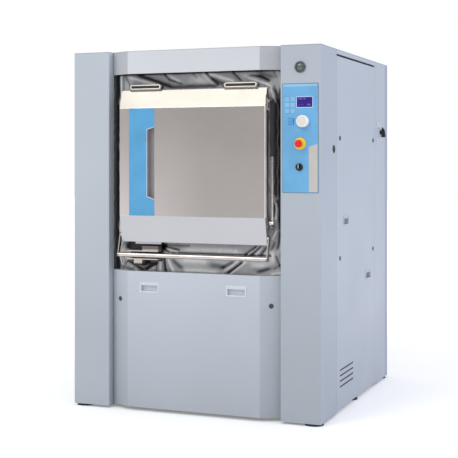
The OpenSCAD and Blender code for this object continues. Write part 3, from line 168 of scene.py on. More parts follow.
def paint(name, colour, grain=620, gloss=0.42, wear=0.06, reach=1.3, lowShade=0.18, sides=0.0, back=None):
    # powder coat: fine orange peel, a little cloudy, painted shade darkening it towards the floor, a painted
    # shade line along the casing's top edge, painted shade on a bay's slanted sides and at the rear of the
    # casing's sides
    f = Finish(name)
    cloud = f.between(f.noise(1.6, detail=3.0), 0.3, 0.7)
    height = f.axis(2)
    base = f.mix(colour, darker(colour, 1 - wear), cloud)
    # painted shade: the coat darkens towards the floor
    base = f.mix(base, black, lowShade * (1 - f.between(height, 0.0, reach)))
    # painted shade: a dark line along the casing's top edge
    base = f.mix(base, black, 0.2 * f.between(height, *paintZones["topShadeLine"]))
    if sides or back:
        across = f.unsigned(f.axis(0) - machineX)
    if sides:
        # painted shade on a bay's slanted sides
        base = f.mix(base, black, sides * f.between(across, *paintZones["baySideShade"]))
    if back:
        # painted shade towards the back edge of the casing's sides
        rear = 0.7 * f.between(f.axis(1), *paintZones["rearEndShade"])
        base = f.mix(base, back, rear * f.between(across, *paintZones["rearSideShade"]))
    peel = f.noise(grain, detail=1.0)
    return f.done(Base_Color=base, Roughness=gloss + 0.1 * cloud, Normal=f.bump(peel, 0.07, 0.0004),
                  Specular_IOR_Level=0.45)


def steel(name, colour, stretch, gloss=0.3, grain=0.12, streak=260, pale=None, slopeReflections=None):
    # ground or rolled steel with its grain in one direction and faint handling marks; a door's is paler
    # towards its lower corner on one side, and its slanted top and bottom carry painted reflections
    f = Finish(name)
    line = f.noise(streak, stretch, detail=2.0, rough=0.6)
    smear = f.between(f.noise(3.2, detail=4.0), 0.35, 0.65)
    base = f.mix(darker(colour, 0.93), colour, f.between(line, 0.3, 0.7))
    base = f.mix(base, darker(colour, 0.9), smear * 0.35)
    if pale:
        height = f.axis(2)
        low = 1.05 - 0.85 * f.between(height, *doorZones["paleHeight"])
        base = f.mix(base, pale, (1 - f.between(f.axis(0) - machineX, *doorZones["paleAcross"])) * low)
        # painted reflections: the slanted top and bottom get colours of their own
        base = f.mix(base, slopeReflections[0], f.between(height, *doorZones["topSlope"]))
        base = f.mix(base, slopeReflections[1], 1 - f.between(height, *doorZones["lowSlope"]))
    return f.done(Base_Color=base, Metallic=1.0, Roughness=gloss + grain * (line - 0.5) + 0.05 * smear,
                  Normal=f.bump(line, 0.05, 0.0003))


def lockSteel(name, colour, shade):
    # sheet that stays bright in front, with painted shade at the back, on top and along its lower edge
    f = Finish(name)
    height = f.axis(2)
    line = f.noise(300, (0.05, 1, 1), detail=2.0)
    # painted shade below the lower edge and above the top edge; only the front between them stays bright
    unshaded = f.between(height, *lockZones["lowEdge"]) * (1 - 0.8 * f.between(height, *lockZones["topEdge"]))
    front = f.between(f.unsigned(f.axis(1)), *lockZones["front"]) * unshaded
    base = f.mix(shade, colour, front)
    base = f.mix(base, darker(colour, 0.8), 0.3 * f.between(line, 0.3, 0.7) * front)
    return f.done(Base_Color=base, Metallic=0.4 + 0.6 * front,
                  Roughness=0.45 - 0.12 * front + 0.1 * (line - 0.5), Normal=f.bump(line, 0.05, 0.0003))


def bailSteel(name, colour, shade):
    # round bar that is bright along its middle, with painted shade on top and underneath and on its darker
    # arms
    f = Finish(name)
    height = f.axis(2)
    line = f.noise(320, (0.03, 1, 1), detail=2.0)
    bar = 1 - f.between(f.unsigned(f.axis(0) - machineX), *bailZones["barEnd"])
    under = 1 - f.between(height, *bailZones["barUnder"])
    # painted shade along the bar's top and underneath
    stainAndShade = bar * (f.between(height, *bailZones["barTop"]) + 0.7 * under)
    base = f.mix(darker(colour, 0.9), colour, f.between(line, 0.3, 0.7))
    base = f.mix(base, shade, stainAndShade)
    # painted shade darkening the arms
    base = f.mix(base, black, 0.55 - 0.55 * bar)
    return f.done(Base_Color=base, Metallic=1 - 0.6 * stainAndShade,
                  Roughness=0.24 + 0.2 * stainAndShade + 0.1 * (line - 0.5), Normal=f.bump(line, 0.05, 0.0003))


def moulded(name, colour, gloss=0.4, grain=900, relief=0.05, coat=0.0):
    f = Finish(name)
    cloud = f.noise(9.0, detail=2.0)
    base = f.mix(colour, darker(colour, 0.86), f.between(cloud, 0.35, 0.7))
    return f.done(Base_Color=base, Roughness=gloss + 0.12 * (cloud - 0.5),
                  Normal=f.bump(f.noise(grain, detail=1.0), relief, 0.0003), Coat_Weight=coat)


def casting(name, colour):
    f = Finish(name)
    grit = f.noise(210, detail=4.0, rough=0.7)
    stainAndShade = f.between(f.noise(7.0, detail=3.0), 0.4, 0.7)
    base = f.mix(colour, darker(colour, 0.7), stainAndShade * 0.6)
    return f.done(Base_Color=base, Roughness=0.62 + 0.15 * (grit - 0.5), Metallic=0.25,
                  Normal=f.bump(grit, 0.25, 0.0008))


def cloth(name):
    # coated cloth: satin, a fine weave under the coating, a painted highlight on the ridges, painted shade
    # down in the folds
    f = Finish(name)
    foldShading = f.node("ShaderNodeAttribute", {"attribute_name": "foldShading"}, output=2)
    across, along = (
        f.node("ShaderNodeTexWave", {"wave_type": "BANDS", "bands_direction": way},
               {"Vector": f.place, "Scale": 260.0, "Distortion": 0.6, "Detail": 1.0}) for way in "XZ")
    rub = f.between(f.noise(5.0, detail=4.0, rough=0.55), 0.3, 0.7)
    base = f.mix(tint(170, 170, 172), tint(190, 190, 192), rub)
    # painted highlight on the ridges, painted shade in the valleys, near black in the deepest
    base = f.mix(base, tint(242, 242, 240), f.between(foldShading, 0.0, 1.0))
    base = f.mix(base, tint(38, 38, 41), f.between(0 - foldShading, 0.0, 1.0))
    base = f.mix(base, tint(8, 8, 10), f.between(0 - foldShading, 0.9, 2.0))
    return f.done(Base_Color=base, Roughness=0.4 + 0.12 * rub, Specular_IOR_Level=0.55,
                  Sheen_Weight=0.1, Normal=f.bump(across * along + 0.5 * rub, 0.1, 0.0005))


casingBlue = tint(190, 198, 206)
fasciaBlue = tint(111, 180, 227)
doorGrey = (0.53, 0.488, 0.468, 1)
paints = {
    "casing_paint": paint("casingPaint", casingBlue),
    "frame_steel": paint("framePaint", tint(92, 96, 100), gloss=0.5),
    "foot_black": moulded("footRubber", tint(34, 34, 35), 0.7, 300, 0.2),
    "lock_black": moulded("lockHead", tint(70, 72, 76), 0.35),
    "fascia_blue": moulded("fasciaFoil", fasciaBlue, 0.38, 700, 0.04),
    "display_pane": moulded("displayPane", tint(46, 26, 132), 0.25),
    # the keys' own pale blue, made lighter still as painted light on their shaded sides
    "key_cap": moulded("keyCapLit", tint(132, 188, 228), 0.35),
    "knob_silver": moulded("knobShell", tint(246, 244, 240), 0.28, coat=0.3),
    "collar_yellow": moulded("collarYellow", tint(255, 222, 50), 0.32, coat=0.2),
    "button_red": moulded("buttonRed", tint(238, 12, 10), 0.34, coat=0.12),
    "switch_black": moulded("switchBlack", tint(30, 30, 32), 0.35),
    "lamp_lens": moulded("lampLens", tint(84, 98, 94), 0.12, coat=0.8),
    "switch_plate": paint("switchPlate", tint(202, 208, 216)),
    "zinc_sheet": steel("zincSheet", (0.55, 0.57, 0.58, 1), (1, 1, 1), 0.4, streak=26),
    "spring_rubber": moulded("sealRubber", tint(36, 36, 38), 0.62, 260, 0.15),
    "stainless": steel("brushedSteel", (0.62, 0.60, 0.58, 1), (1, 1, 0.03), 0.28),
    "door_steel": steel("doorSteel", doorGrey, (0.03, 1, 1), 0.34, 0.08, 420,
                        pale=(0.76, 0.70, 0.69, 1),
                        slopeReflections=((0.38, 0.355, 0.318, 1), (0.56, 0.56, 0.577, 1))),
    "bright_steel": steel("polishedSteel", (0.76, 0.70, 0.655, 1), (0.05, 1, 1), 0.17, 0.05),
    "cast_grey": casting("castIron", tint(110, 114, 118)),
    "motor_paint": paint("motorPaint", tint(58, 70, 84), gloss=0.35),
    "belt_rubber": moulded("beltRubber", tint(28, 28, 29), 0.75, 400, 0.3),
    "valve_plastic": moulded("valvePlastic", tint(110, 120, 104), 0.5),
    "strut_black": paint("strutEnamel", tint(36, 36, 38), gloss=0.25),
    "bellows_cloth": cloth("bellowsCloth"),
}
extras = {
    "stripBlue": moulded("stripBlue", tint(90, 169, 217), 0.36, 700, 0.03),
    "outlineWhite": moulded("outlineWhite", tint(226, 234, 240), 0.4),
    "linerGrey": moulded("linerGrey", tint(168, 165, 168), 0.45),
    "bandPale": moulded("bandPale", tint(150, 200, 232), 0.38, 700, 0.03),
    "panelBeige": moulded("panelBeige", tint(201, 197, 192), 0.42),
    "markWhite": moulded("markWhite", tint(240, 246, 250), 0.4),
    "signBlue": moulded("signBlue", tint(84, 158, 220), 0.4),
    "signDark": moulded("signDark", tint(26, 112, 184), 0.4),
    "keyPale": moulded("keyPale", tint(182, 214, 240), 0.4),
    "bezelPale": moulded("bezelPale", tint(190, 216, 252), 0.4),
    "digitViolet": moulded("digitViolet", tint(176, 140, 240), 0.4),
    "digitDim": moulded("digitDim", tint(104, 62, 176), 0.4),
    "capCream": moulded("capCream", tint(230, 225, 216), 0.35),
    "rimDark": moulded("rimDark", tint(84, 92, 96), 0.3, coat=0.4),
    "shadowLineGrey": moulded("shadowLineGrey", tint(124, 140, 158), 0.5),
    "bracketGrey": moulded("bracketGrey", tint(150, 142, 137), 0.4),
    "edgeReflectionPale": moulded("edgeReflectionPale", tint(226, 219, 219), 0.4),
    "loopReflectionCream": moulded("loopReflectionCream", tint(252, 244, 234), 0.3, coat=0.3),
    "slotShadeBrown": moulded("slotShadeBrown", tint(44, 36, 34), 0.6, 300, 0.15),
    "screwSteel": steel("screwSteel", (0.6, 0.6, 0.6, 1), (1, 1, 1), 0.25, streak=90),
}
special = {
    # lit copies of the casing paint: headers, lower panels and pulls are lighter as painted light, with
    # painted shade on their slanted sides
    "headers": paint("headerPaintLit", tint(213, 216, 221), sides=0.27),
    "lower_panels": paint("lowerPaintLit", tint(197, 204, 213), reach=0.76, lowShade=0.26, sides=0.1),
    "flush_pulls": paint("pullPaintLit", tint(220, 228, 235), wear=0.02, sides=0.28),
    # painted shade on the rear columns' sides towards the back
    "rear_columns": paint("rearPaintShaded", casingBlue, back=tint(120, 132, 172)),
    # a shaded copy of the casing paint: the front right column is darker as painted shade
    "front_right_column": paint("columnPaintShaded", tint(182, 190, 199)),
    # painted shade: the pins are darkened nearly black where they show in the hinge slots
    "hinge_pins": steel("pinSteelShaded", (0.12, 0.11, 0.10, 1), (1, 1, 1), 0.35, streak=90),
    "lock_housings": lockSteel("lockSteel", (0.70, 0.62, 0.56, 1), (0.035, 0.03, 0.03, 1)),
}
for name in ("front_bail", "rear_bail"):
    special[name] = bailSteel("bailSteel", (0.66, 0.60, 0.56, 1), (0.05, 0.036, 0.03, 1))
slotOf = {part["node"]: part["material_slot"] for part in frame["record"]["subparts"]}
for name, obj in frame["nodes"].items():
    obj.data.materials.clear()
    obj.data.materials.append(special.get(name, paints[slotOf[name]]))
print("materials on", len(slotOf), "nodes")


def placed(name, data):
    obj = bpy.data.objects.new(name, data)
    bpy.context.scene.collection.objects.link(obj)
    return obj


def makePiece(name, bm, finish, body, side=1, smooth=False):
    # side -1 turns the piece round to the clean side; a piece given no body is left unattached here
    bmesh.ops.remove_doubles(bm, verts=bm.verts, dist=1e-6)
    bmesh.ops.recalc_face_normals(bm, faces=bm.faces)
    if side < 0:
        bmesh.ops.rotate(bm, verts=bm.verts, cent=(machineX, 0, 0),
                         matrix=Matrix.Rotation(math.pi, 3, "Z"))
    mesh = bpy.data.meshes.new(name)
    bm.to_mesh(mesh)
    bm.free()
    mesh.materials.append(finish)
    for face in mesh.polygons:
        face.use_smooth = smooth
    piece = placed(name, mesh)
    if body:
        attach(piece, body)
    return piece


def pushOut(bm, faces, move):
    # thickens flat faces by the given move
    made = bmesh.ops.extrude_face_region(bm, geom=faces)
    moved = [v for v in made["geom"] if isinstance(v, bmesh.types.BMVert)]
    bmesh.ops.translate(bm, verts=moved, vec=move)


def oblong(left, right, low, high):
    return [(left, low), (right, low), (right, high), (left, high)]


def outlinePlate(bm, points, y, thick):
    # flat plate from an outline in X and Z, its back on y, its front towards -Y
    corners = [bm.verts.new(spot(x, y, z)) for x, z in points]
    face = bm.faces.new(corners)
    pushOut(bm, [face], (0, -thick / 1000, 0))


def roundedPlate(bm, x, y, z, w, h, thick, corner, hole=0.0):
    # rounded plate facing -Y; with a hole it becomes a frame of that rim width
    made = bmesh.ops.create_grid(bm, x_segments=1, y_segments=1, size=0.5)["verts"]
    bmesh.ops.scale(bm, verts=made, vec=(w / 1000, h / 1000, 1))
    bmesh.ops.rotate(bm, verts=made, cent=(0, 0, 0), matrix=Matrix.Rotation(math.pi / 2, 3, "X"))
    bmesh.ops.translate(bm, verts=made, vec=spot(x, y, z))
    face = made[0].link_faces[0]
    known = set(bm.faces) - {face}
    bmesh.ops.bevel(bm, geom=made, offset=corner / 1000, segments=5, affect="VERTICES", profile=0.5,
                    material=-1)
    new = [f for f in bm.faces if f not in known]
    if hole:
        before = set(bm.faces)
        bmesh.ops.inset_region(bm, faces=new, thickness=hole / 1000, use_boundary=True,
                               use_even_offset=True)
        rim = [f for f in bm.faces if f not in before]
        bmesh.ops.delete(bm, geom=new, context="FACES")
        new = rim
    pushOut(bm, new, (0, -thick / 1000, 0))


def turned(bm, centre, axis, profile, steps=40):
    # a turned form; profile: pairs of radius and distance along the axis
    along = Vector(axis).normalized()
    out = along.orthogonal().normalized()
    line = [bm.verts.new(centre + out * (r / 1000) + along * (d / 1000)) for r, d in profile]
    edges = [bm.edges.new(pair) for pair in zip(line, line[1:])]
    bmesh.ops.spin(bm, geom=line + edges, cent=centre, axis=along, angle=2 * math.pi, steps=steps,
                   use_merge=True)


def written(name, text, size, centre, finish, body, thick=0.0003):
    # plain numbers, made a mesh before they are placed
    curve = bpy.data.curves.new(name + "Text", "FONT")
    curve.body = text
    curve.size = size / 1000
    curve.align_x = "CENTER"
    curve.align_y = "CENTER"
    curve.extrude = thick
    source = placed(name + "Text", curve)
    bpy.context.view_layer.update()
    mesh = bpy.data.meshes.new_from_object(source)
    bpy.data.objects.remove(source)
    mesh.transform(Matrix.Translation(centre) @ Matrix.Rotation(math.pi / 2, 4, "X"))
    mesh.name = name
    mesh.materials.clear()
    mesh.materials.append(finish)
    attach(placed(name, mesh), body)


sides = {"front": 1, "rear": -1}

# doors: blue strip, the grip's white outline and its liner, the right edge made pale as a painted reflection,
# the strut's upper bracket
door = {
    "face": -745, "stripLeft": -367, "stripRight": -214, "stripLow": 1070, "stripHigh": 1656,
    "gripLeft": -258, "gripMiddle": 1357, "gripHalf": 195.5, "gripHalfLeft": 181.5,
    "outline": 3.0, "outlineInside": 0.3, "outlineRise": 0.1, "foil": 0.5, "gripDeep": 35, "wall": 1.2,
    "linerFront": 2, "linerThick": 0.8, "right": 424.6, "rim": 4.5, "edgeFront": -744.5, "edgeBack": -724,
}
# the bracket's outline in X and Z, seen from the front
bracket = {"back": -730, "thick": 5, "outline": [
    (424.8, 1636), (444, 1636), (444, 1643), (436, 1643), (436, 1674), (443, 1674), (443, 1682), (436, 1682),
    (436, 1697), (424.8, 1697)]}


def gripCorners(grow):
    left, right = door["gripLeft"] - grow, door["stripRight"]
    mid, tall, short = door["gripMiddle"], door["gripHalf"] + grow, door["gripHalfLeft"] + grow
    return [(right, mid + tall), (left, mid + short), (left, mid - short), (right, mid - tall)]


for where, side in sides.items():
    body = where + "_door"
    bm = bmesh.new()
    notch = gripCorners(door["outline"])
    outlinePlate(bm, [(door["stripRight"], door["stripHigh"]), (door["stripLeft"], door["stripHigh"]),
                      (door["stripLeft"], door["stripLow"]), (door["stripRight"], door["stripLow"])]
                 + notch[::-1], door["face"], door["foil"])
    makePiece(where + "DoorStrip", bm, extras["stripBlue"], body, side)
    bm = bmesh.new()
    outlinePlate(bm, notch + gripCorners(door["outlineInside"])[::-1], door["face"],
                 door["foil"] + door["outlineRise"])
    makePiece(where + "GripOutline", bm, extras["outlineWhite"], body, side)
    bm = bmesh.new()
    inside = gripCorners(-door["wall"])
    inside = [(min(x, door["stripRight"] - door["wall"]), z) for x, z in inside]
    deepest = door["face"] + door["gripDeep"]
    floorFace = bm.faces.new([bm.verts.new(spot(x, deepest, z)) for x, z in inside])
    pushOut(bm, [floorFace], (0, (door["linerFront"] - door["gripDeep"]) / 1000, 0))
    frontMost = min(v.co.y for v in bm.verts)
    lid = [f for f in bm.faces if all(abs(v.co.y - frontMost) < 1e-6 for v in f.verts)]
    bmesh.ops.delete(bm, geom=lid, context="FACES_ONLY")
    bmesh.ops.recalc_face_normals(bm, faces=bm.faces)
    bmesh.ops.solidify(bm, geom=bm.faces[:], thickness=door["linerThick"] / 1000)
    makePiece(where + "GripLiner", bm, extras["linerGrey"], body, side)
    # pale plates on the door's right edge: a painted reflection
    bm = bmesh.new()
    corners = oblong(door["edgeFront"], door["edgeBack"], door["stripLow"], door["stripHigh"])
    edgeFace = bm.faces.new([bm.verts.new(spot(door["right"], y, z)) for y, z in corners])
    pushOut(bm, [edgeFace], (door["foil"] / 1000, 0, 0))
    outlinePlate(bm, oblong(door["right"] - door["rim"], door["right"], door["stripLow"], door["stripHigh"]),
                 door["face"], door["foil"])
    makePiece(where + "DoorEdgeReflection", bm, extras["edgeReflectionPale"], body, side)
    bm = bmesh.new()
    outlinePlate(bm, bracket["outline"], bracket["back"], bracket["thick"])
    makePiece(where + "StrutBracket", bm, extras["bracketGrey"], body, side)
print("door trim made")

# hinges: a loop in front of each pin, its cream colour a painted reflection, and between its rims a dark plate
# as painted shade; three screws below them
hinge = {"x": 278, "z": 1772, "y": -724.5, "long": 180, "high": 25, "rim": 5.2, "thick": 3.0, "corner": 9,
         "shadePlate": 1.2, "shadePlateCorner": 4, "shadePlateUnder": 1, "screwsX": (-58, 32, 122), "screwZ": 1754,
         "screwY": -703, "screwR": 5}
inHinge = 2 * hinge["rim"] - hinge["shadePlateUnder"]
for where, side in sides.items():
    for hand, x in (("Left", -hinge["x"]), ("Right", hinge["x"])):
        # the loop's cream colour is a painted reflection
        bm = bmesh.new()
        roundedPlate(bm, x, hinge["y"], hinge["z"], hinge["long"], hinge["high"], hinge["thick"],
                     hinge["corner"], hinge["rim"])
        makePiece(f"{where}HingeLoop{hand}", bm, extras["loopReflectionCream"], where + "_door", side)
        # a dark plate between the loop's rims: painted shade in the slot
        bm = bmesh.new()
        roundedPlate(bm, x, hinge["y"], hinge["z"], hinge["long"] - inHinge, hinge["high"] - inHinge,
                     hinge["shadePlate"], hinge["shadePlateCorner"])
        makePiece(f"{where}HingeSlotShade{hand}", bm, extras["slotShadeBrown"], where + "_door", side)
    bm = bmesh.new()
    for x in hinge["screwsX"]:
        turned(bm, spot(x, hinge["screwY"], hinge["screwZ"]), (0, 0, 1),
               [(0, 4), (hinge["screwR"] - 1.5, 4), (hinge["screwR"], 2.6), (hinge["screwR"], 0), (0, 0)], 20)
    makePiece(where + "DoorScrews", bm, extras["screwSteel"], where + "_door", side, smooth=True)
print("hinge loops made")

# fascia: pale band, beige field, a dark frame all round as painted shadow, numbers and rims of the keys,
# display, sign
fascia = {
    "left": 514, "right": 706, "low": 1206, "high": 1768, "face": -728, "foil": 0.4, "band": 14,
    "bandSide": 3, "bandTop": 2, "back": -725, "shadowLine": 3.2, "shadowLineThick": 0.8, "shadowLineCorner": 4,
    "beige": [(657, 1208), (704, 1208), (704, 1456), (661, 1443), (657, 1438)],
    "keysX": (541, 571), "keysZ": (1688, 1658, 1628), "keyText": 12, "keyInside": 1, "keyThick": 0.2,
    "keyCorner": 3, "keyRim": 2,
    "display": (634, 1673, 84, 52), "bezelOver": 8, "bezelThick": 1.2, "bezelCorner": 4, "bezelRim": 4,
    "digitsFront": 0.7, "digitsThick": 0.0001, "sign": (557, 1574, 26, 44), "signGap": 4, "signCorner": 2.5,
    "barOff": 4, "barWide": 5, "barShort": 10, "barCorner": 2,
}
# numbers on the display: text, size, place from its middle, colour
digits = (("09:25  40", 10, -15, 17, "digitViolet"), ("1200", 11, 21, -14, "digitViolet"),
          ("60  85", 11, -20, -15, "digitDim"))
bm = bmesh.new()
outlinePlate(bm, oblong(fascia["left"] + fascia["bandSide"], fascia["right"] - fascia["bandSide"],
                        fascia["high"] - fascia["band"], fascia["high"] - fascia["bandTop"]),
             fascia["face"], fascia["foil"])
makePiece("fasciaBand", bm, extras["bandPale"], "cabinet")
bm = bmesh.new()
outlinePlate(bm, fascia["beige"], fascia["face"], fascia["foil"])
makePiece("fasciaField", bm, extras["panelBeige"], "cabinet")
# a dark frame round the fascia: painted shadow in the gap
bm = bmesh.new()
middleX, middleZ = (fascia["left"] + fascia["right"]) / 2, (fascia["low"] + fascia["high"]) / 2
roundedPlate(bm, middleX, fascia["back"], middleZ, fascia["right"] - fascia["left"] + 2 * fascia["shadowLine"],
             fascia["high"] - fascia["low"] + 2 * fascia["shadowLine"], fascia["shadowLineThick"],
             fascia["shadowLineCorner"], fascia["shadowLine"])
makePiece("fasciaShadowLine", bm, extras["shadowLineGrey"], "cabinet")
for i in range(6):
    body = f"program_key_{i + 1}"
    keyLow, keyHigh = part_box(body)
    at = (fascia["keysX"][i % 2], keyLow.y * 1000, fascia["keysZ"][i // 2])
    written(f"keyNumber{i + 1}", str(i + 1), fascia["keyText"], spot(*at), extras["keyPale"], body)
    bm = bmesh.new()
    roundedPlate(bm, *at, (keyHigh.x - keyLow.x) * 1000 - fascia["keyInside"],
                 (keyHigh.z - keyLow.z) * 1000 - fascia["keyInside"], fascia["keyThick"],
                 fascia["keyCorner"], fascia["keyRim"])
    makePiece(f"keyRim{i + 1}", bm, extras["keyPale"], body)
bm = bmesh.new()
dx, dz, dw, dh = fascia["display"]
roundedPlate(bm, dx, fascia["face"], dz, dw + fascia["bezelOver"], dh + fascia["bezelOver"],
             fascia["bezelThick"], fascia["bezelCorner"], fascia["bezelRim"])
makePiece("displayBezel", bm, extras["bezelPale"], "cabinet")
for row, (text, size, right, up, finish) in enumerate(digits):
    written(f"displayDigits{row + 1}", text, size,
            spot(dx + right, fascia["face"] - fascia["digitsFront"], dz + up), extras[finish], "cabinet",
            fascia["digitsThick"])
bm = bmesh.new()
sx, sz, sw, sh = fascia["sign"]
for step in (-1, 0, 1):
    roundedPlate(bm, sx, fascia["face"], sz + step * (sh / 3), sw, sh / 3 - fascia["signGap"],
                 fascia["foil"], fascia["signCorner"])
makePiece("fasciaSign", bm, extras["signBlue"], "cabinet")
bm = bmesh.new()
roundedPlate(bm, sx + sw / 2 + fascia["barOff"], fascia["face"], sz, fascia["barWide"],
             sh - fascia["barShort"], fascia["foil"], fascia["barCorner"])
makePiece("fasciaSignBar", bm, extras["signDark"], "cabinet")
print("fascia dressed")

# knob cap, selector mark, lamp ring
knob = {"x": 627, "z": 1574, "front": -754, "cap": 22}
bm = bmesh.new()
turned(bm, spot(knob["x"], knob["front"], knob["z"]), (0, -1, 0),
       [(0, 1.0), (knob["cap"] - 6, 1.0), (knob["cap"] - 5, 0.3), (knob["cap"] - 4, 1.0),
        (knob["cap"] - 1, 0.8), (knob["cap"], 0), (knob["cap"], -1), (0, -1)], 56)
makePiece("knobCap", bm, extras["capCream"], "control_knob", smooth=True)
selector = {"x": 606, "z": 1341, "front": -750, "long": 20, "wide": 2.6, "thick": 0.5, "corner": 1}
bm = bmesh.new()
roundedPlate(bm, selector["x"], selector["front"], selector["z"], selector["wide"], selector["long"],
             selector["thick"], selector["corner"])
makePiece("selectorMark", bm, extras["markWhite"], "selector_switch")
lamp = {"x": 610, "z": 1855, "y": -732.9, "r": 24, "tube": 3}
bm = bmesh.new()
turned(bm, spot(lamp["x"], lamp["y"], lamp["z"]), (0, -1, 0),
       [(lamp["r"] - lamp["tube"], 0), (lamp["r"], 0), (lamp["r"], 3), (lamp["r"] - 1, 3.8),
        (lamp["r"] - 2, 3.8), (lamp["r"] - lamp["tube"], 2.6), (lamp["r"] - lamp["tube"], 0)], 48)
makePiece("lampRing", bm, extras["rimDark"], "cabinet", smooth=True)

# right side: screws and two marks on the switch plate, plug in the cable hole
switch = {"y": 491, "z": 1543, "x": 723, "acrossY": 43, "acrossZ": 56, "r": 4.5,
          "plateX": 732, "markY": 479, "marksZ": (1562, 1546)}
bm = bmesh.new()
for dy in (-1, 1):
    for dz in (-1, 1):
        at = spot(switch["x"], switch["y"] + dy * switch["acrossY"], switch["z"] + dz * switch["acrossZ"])
        turned(bm, at, (1, 0, 0), [(0, 0.9), (1.4, 0.9), (1.8, 1.9), (switch["r"] - 1, 1.9),
                                   (switch["r"], 0.8), (switch["r"], -0.5), (0, -0.5)], 20)
makePiece("switchPlateScrews", bm, extras["screwSteel"], "cabinet", smooth=True)
bm = bmesh.new()
for z in switch["marksZ"]:
    turned(bm, spot(switch["plateX"], switch["markY"], z), (1, 0, 0),
           [(0, 1.5), (switch["r"] - 1.5, 1.5), (switch["r"] - 0.5, 0.6), (switch["r"] - 0.5, -0.5),
            (0, -0.5)], 24)
makePiece("switchPlateMarks", bm, paints["switch_black"], "cabinet", smooth=True)
plug = {"x": 720, "y": -486, "z": 1432, "r": 19}
bm = bmesh.new()
turned(bm, spot(plug["x"], plug["y"], plug["z"]), (1, 0, 0),
       [(0, 0.8), (plug["r"] - 5, 0.8), (plug["r"] - 3, 2.4), (plug["r"] + 2, 2.2), (plug["r"] + 3.5, 1),
        (plug["r"] + 3.5, 0.05), (plug["r"] - 0.5, 0.05), (plug["r"] - 0.5, -4), (0, -4)], 40)
makePiece("cablePlug", bm, paints["switch_black"], "cabinet", smooth=True)
print("side fittings made")

# bellows: a cloth ring that is a little too large for its place
bellows = {
    "outerHalf": 512, "outerLow": 746, "outerHigh": 1866, "outerY": -651.8,
    "innerHalf": 387, "innerLow": 963, "innerHigh": 1717, "innerY": -662.2,
    "cuts": 95, "rows": 20, "growth": 0.05, "frames": 26, "front": -684.0, "behind": -638.0,
    "thick": 1.2, "flat": (1.16, 1.25), "area": 0.70, "cap": 0.014, "tone": 10.0,
    "foldFirst": 0.0003, "foldLast": 0.0009, "room": 0.006, "ease": 12, "rounds": 3,
    "runOut": 1.5, "spread": 3,
}
fabric = {"quality": 7, "mass": 0.25, "tension_stiffness": 12, "compression_stiffness": 12,
          "shear_stiffness": 4, "bending_stiffness": 0.6, "shrink_min": -bellows["growth"]}
# folds in the cloth, which also set its painted shade and highlight: from x, z to x, z, how far they stand
# forward (a valley is below 0) and their half width
folds = [
    (-442, 1846, -399, 1776, -6, 4), (-395, 1780, -335, 1786, -6, 14), (-412, 1837, -240, 1788, 10, 11),
    (-361, 1846, -165, 1777, -12, 12), (-201, 1850, -171, 1815, -9, 5), (-171, 1815, -96, 1789, -9, 6),
    (-171, 1843, -107, 1803, 7, 10), (-160, 1772, 110, 1774, -9, 12), (-26, 1846, 0, 1818, -5, 5),
    (-20, 1822, 40, 1800, 6, 20), (50, 1848, 118, 1780, -9, 6), (32, 1846, 98, 1782, 7, 8),
    (88, 1812, 165, 1774, -9, 14), (72, 1843, 222, 1793, 9, 12), (206, 1846, 252, 1799, -10, 5),
    (255, 1832, 330, 1806, 6, 20), (304, 1827, 360, 1819, -11, 7), (360, 1819, 412, 1795, -12, 8),
    (350, 1838, 432, 1816, -7, 15), (300, 1812, 411, 1772, 9, 9), (436, 1842, 456, 1813, -6, 4),
    (402, 1772, 446, 1752, 7, 5), (424, 1749, 452, 1678, 10, 5), (437, 1762, 468, 1680, -13, 7),
    (478, 1740, 478, 1110, -22, 13), (448, 1690, 448, 1180, -12, 12), (452, 1147, 455, 1066, 10, 5),
    (455, 1066, 438, 1040, 9, 5), (456, 1160, 472, 1118, -13, 7), (474, 1118, 474, 1010, -16, 8),
    (440, 1140, 436, 1010, -10, 8), (458, 1000, 433, 953, 10, 5), (474, 1000, 462, 905, -10, 8),
    (445, 940, 430, 900, -8, 6), (438, 897, 440, 842, 6, 12), (457, 868, 475, 794, -8, 5),
    (437, 792, 475, 820, -8, 5), (430, 770, 497, 778, 6, 6),
    (-489, 1846, -489, 766, -24, 13), (-458, 1846, -458, 790, 9, 5), (-448, 1840, -447, 1480, -6, 4),
    (-432, 905, -385, 890, -16, 20), (-505, 1852, 505, 1852, -16, 6),
    (-436, 1740, -436, 960, -12, 10),
    (-411, 815, -328, 762, -12, 10), (-236, 811, -314, 766, -12, 10), (-370, 812, -268, 808, -11, 17),
    (-400, 788, -366, 765, 6, 8), (-250, 786, -290, 764, 6, 8), (-411, 815, -459, 766, -7, 4),
    (-456, 834, -447, 798, -7, 4), (-439, 834, -428, 802, -7, 4), (-446, 776, -407, 761, -6, 4),
    (-448, 790, -440, 775, 6, 7), (-239, 812, -240, 759, -7, 4), (-195, 838, -186, 759, -13, 8),
    (-216, 834, -213, 764, 7, 7), (-164, 828, -134, 760, 9, 8), (-146, 828, -82, 776, -8, 13),
    (-216, 920, -214, 862, -15, 12), (-205, 902, -100, 883, -10, 6), (-205, 898, -160, 866, -10, 7),
    (-190, 894, -112, 870, 7, 6), (-190, 908, -40, 908, -7, 7), (-392, 905, -204, 905, -18, 22),
    (-150, 867, 430, 867, -13, 5), (-60, 890, 250, 888, 5, 15),
    (348, 918, 280, 868, -11, 6), (371, 916, 311, 867, -11, 6), (400, 914, 370, 868, -10, 6),
    (360, 917, 296, 868, 8, 5), (386, 915, 341, 868, 7, 6), (415, 912, 395, 868, 5, 8),
    (266, 828, 180, 764, -13, 8), (247, 830, 165, 776, 9, 7), (288, 830, 196, 760, 9, 6),
    (215, 828, 145, 791, -9, 9), (80, 806, 150, 796, -7, 16), (417, 798, 354, 777, -9, 9),
    (-80, 826, 60, 824, 5, 14), (-90, 772, 120, 770, 6, 12), (330, 812, 400, 815, 5, 14),
]
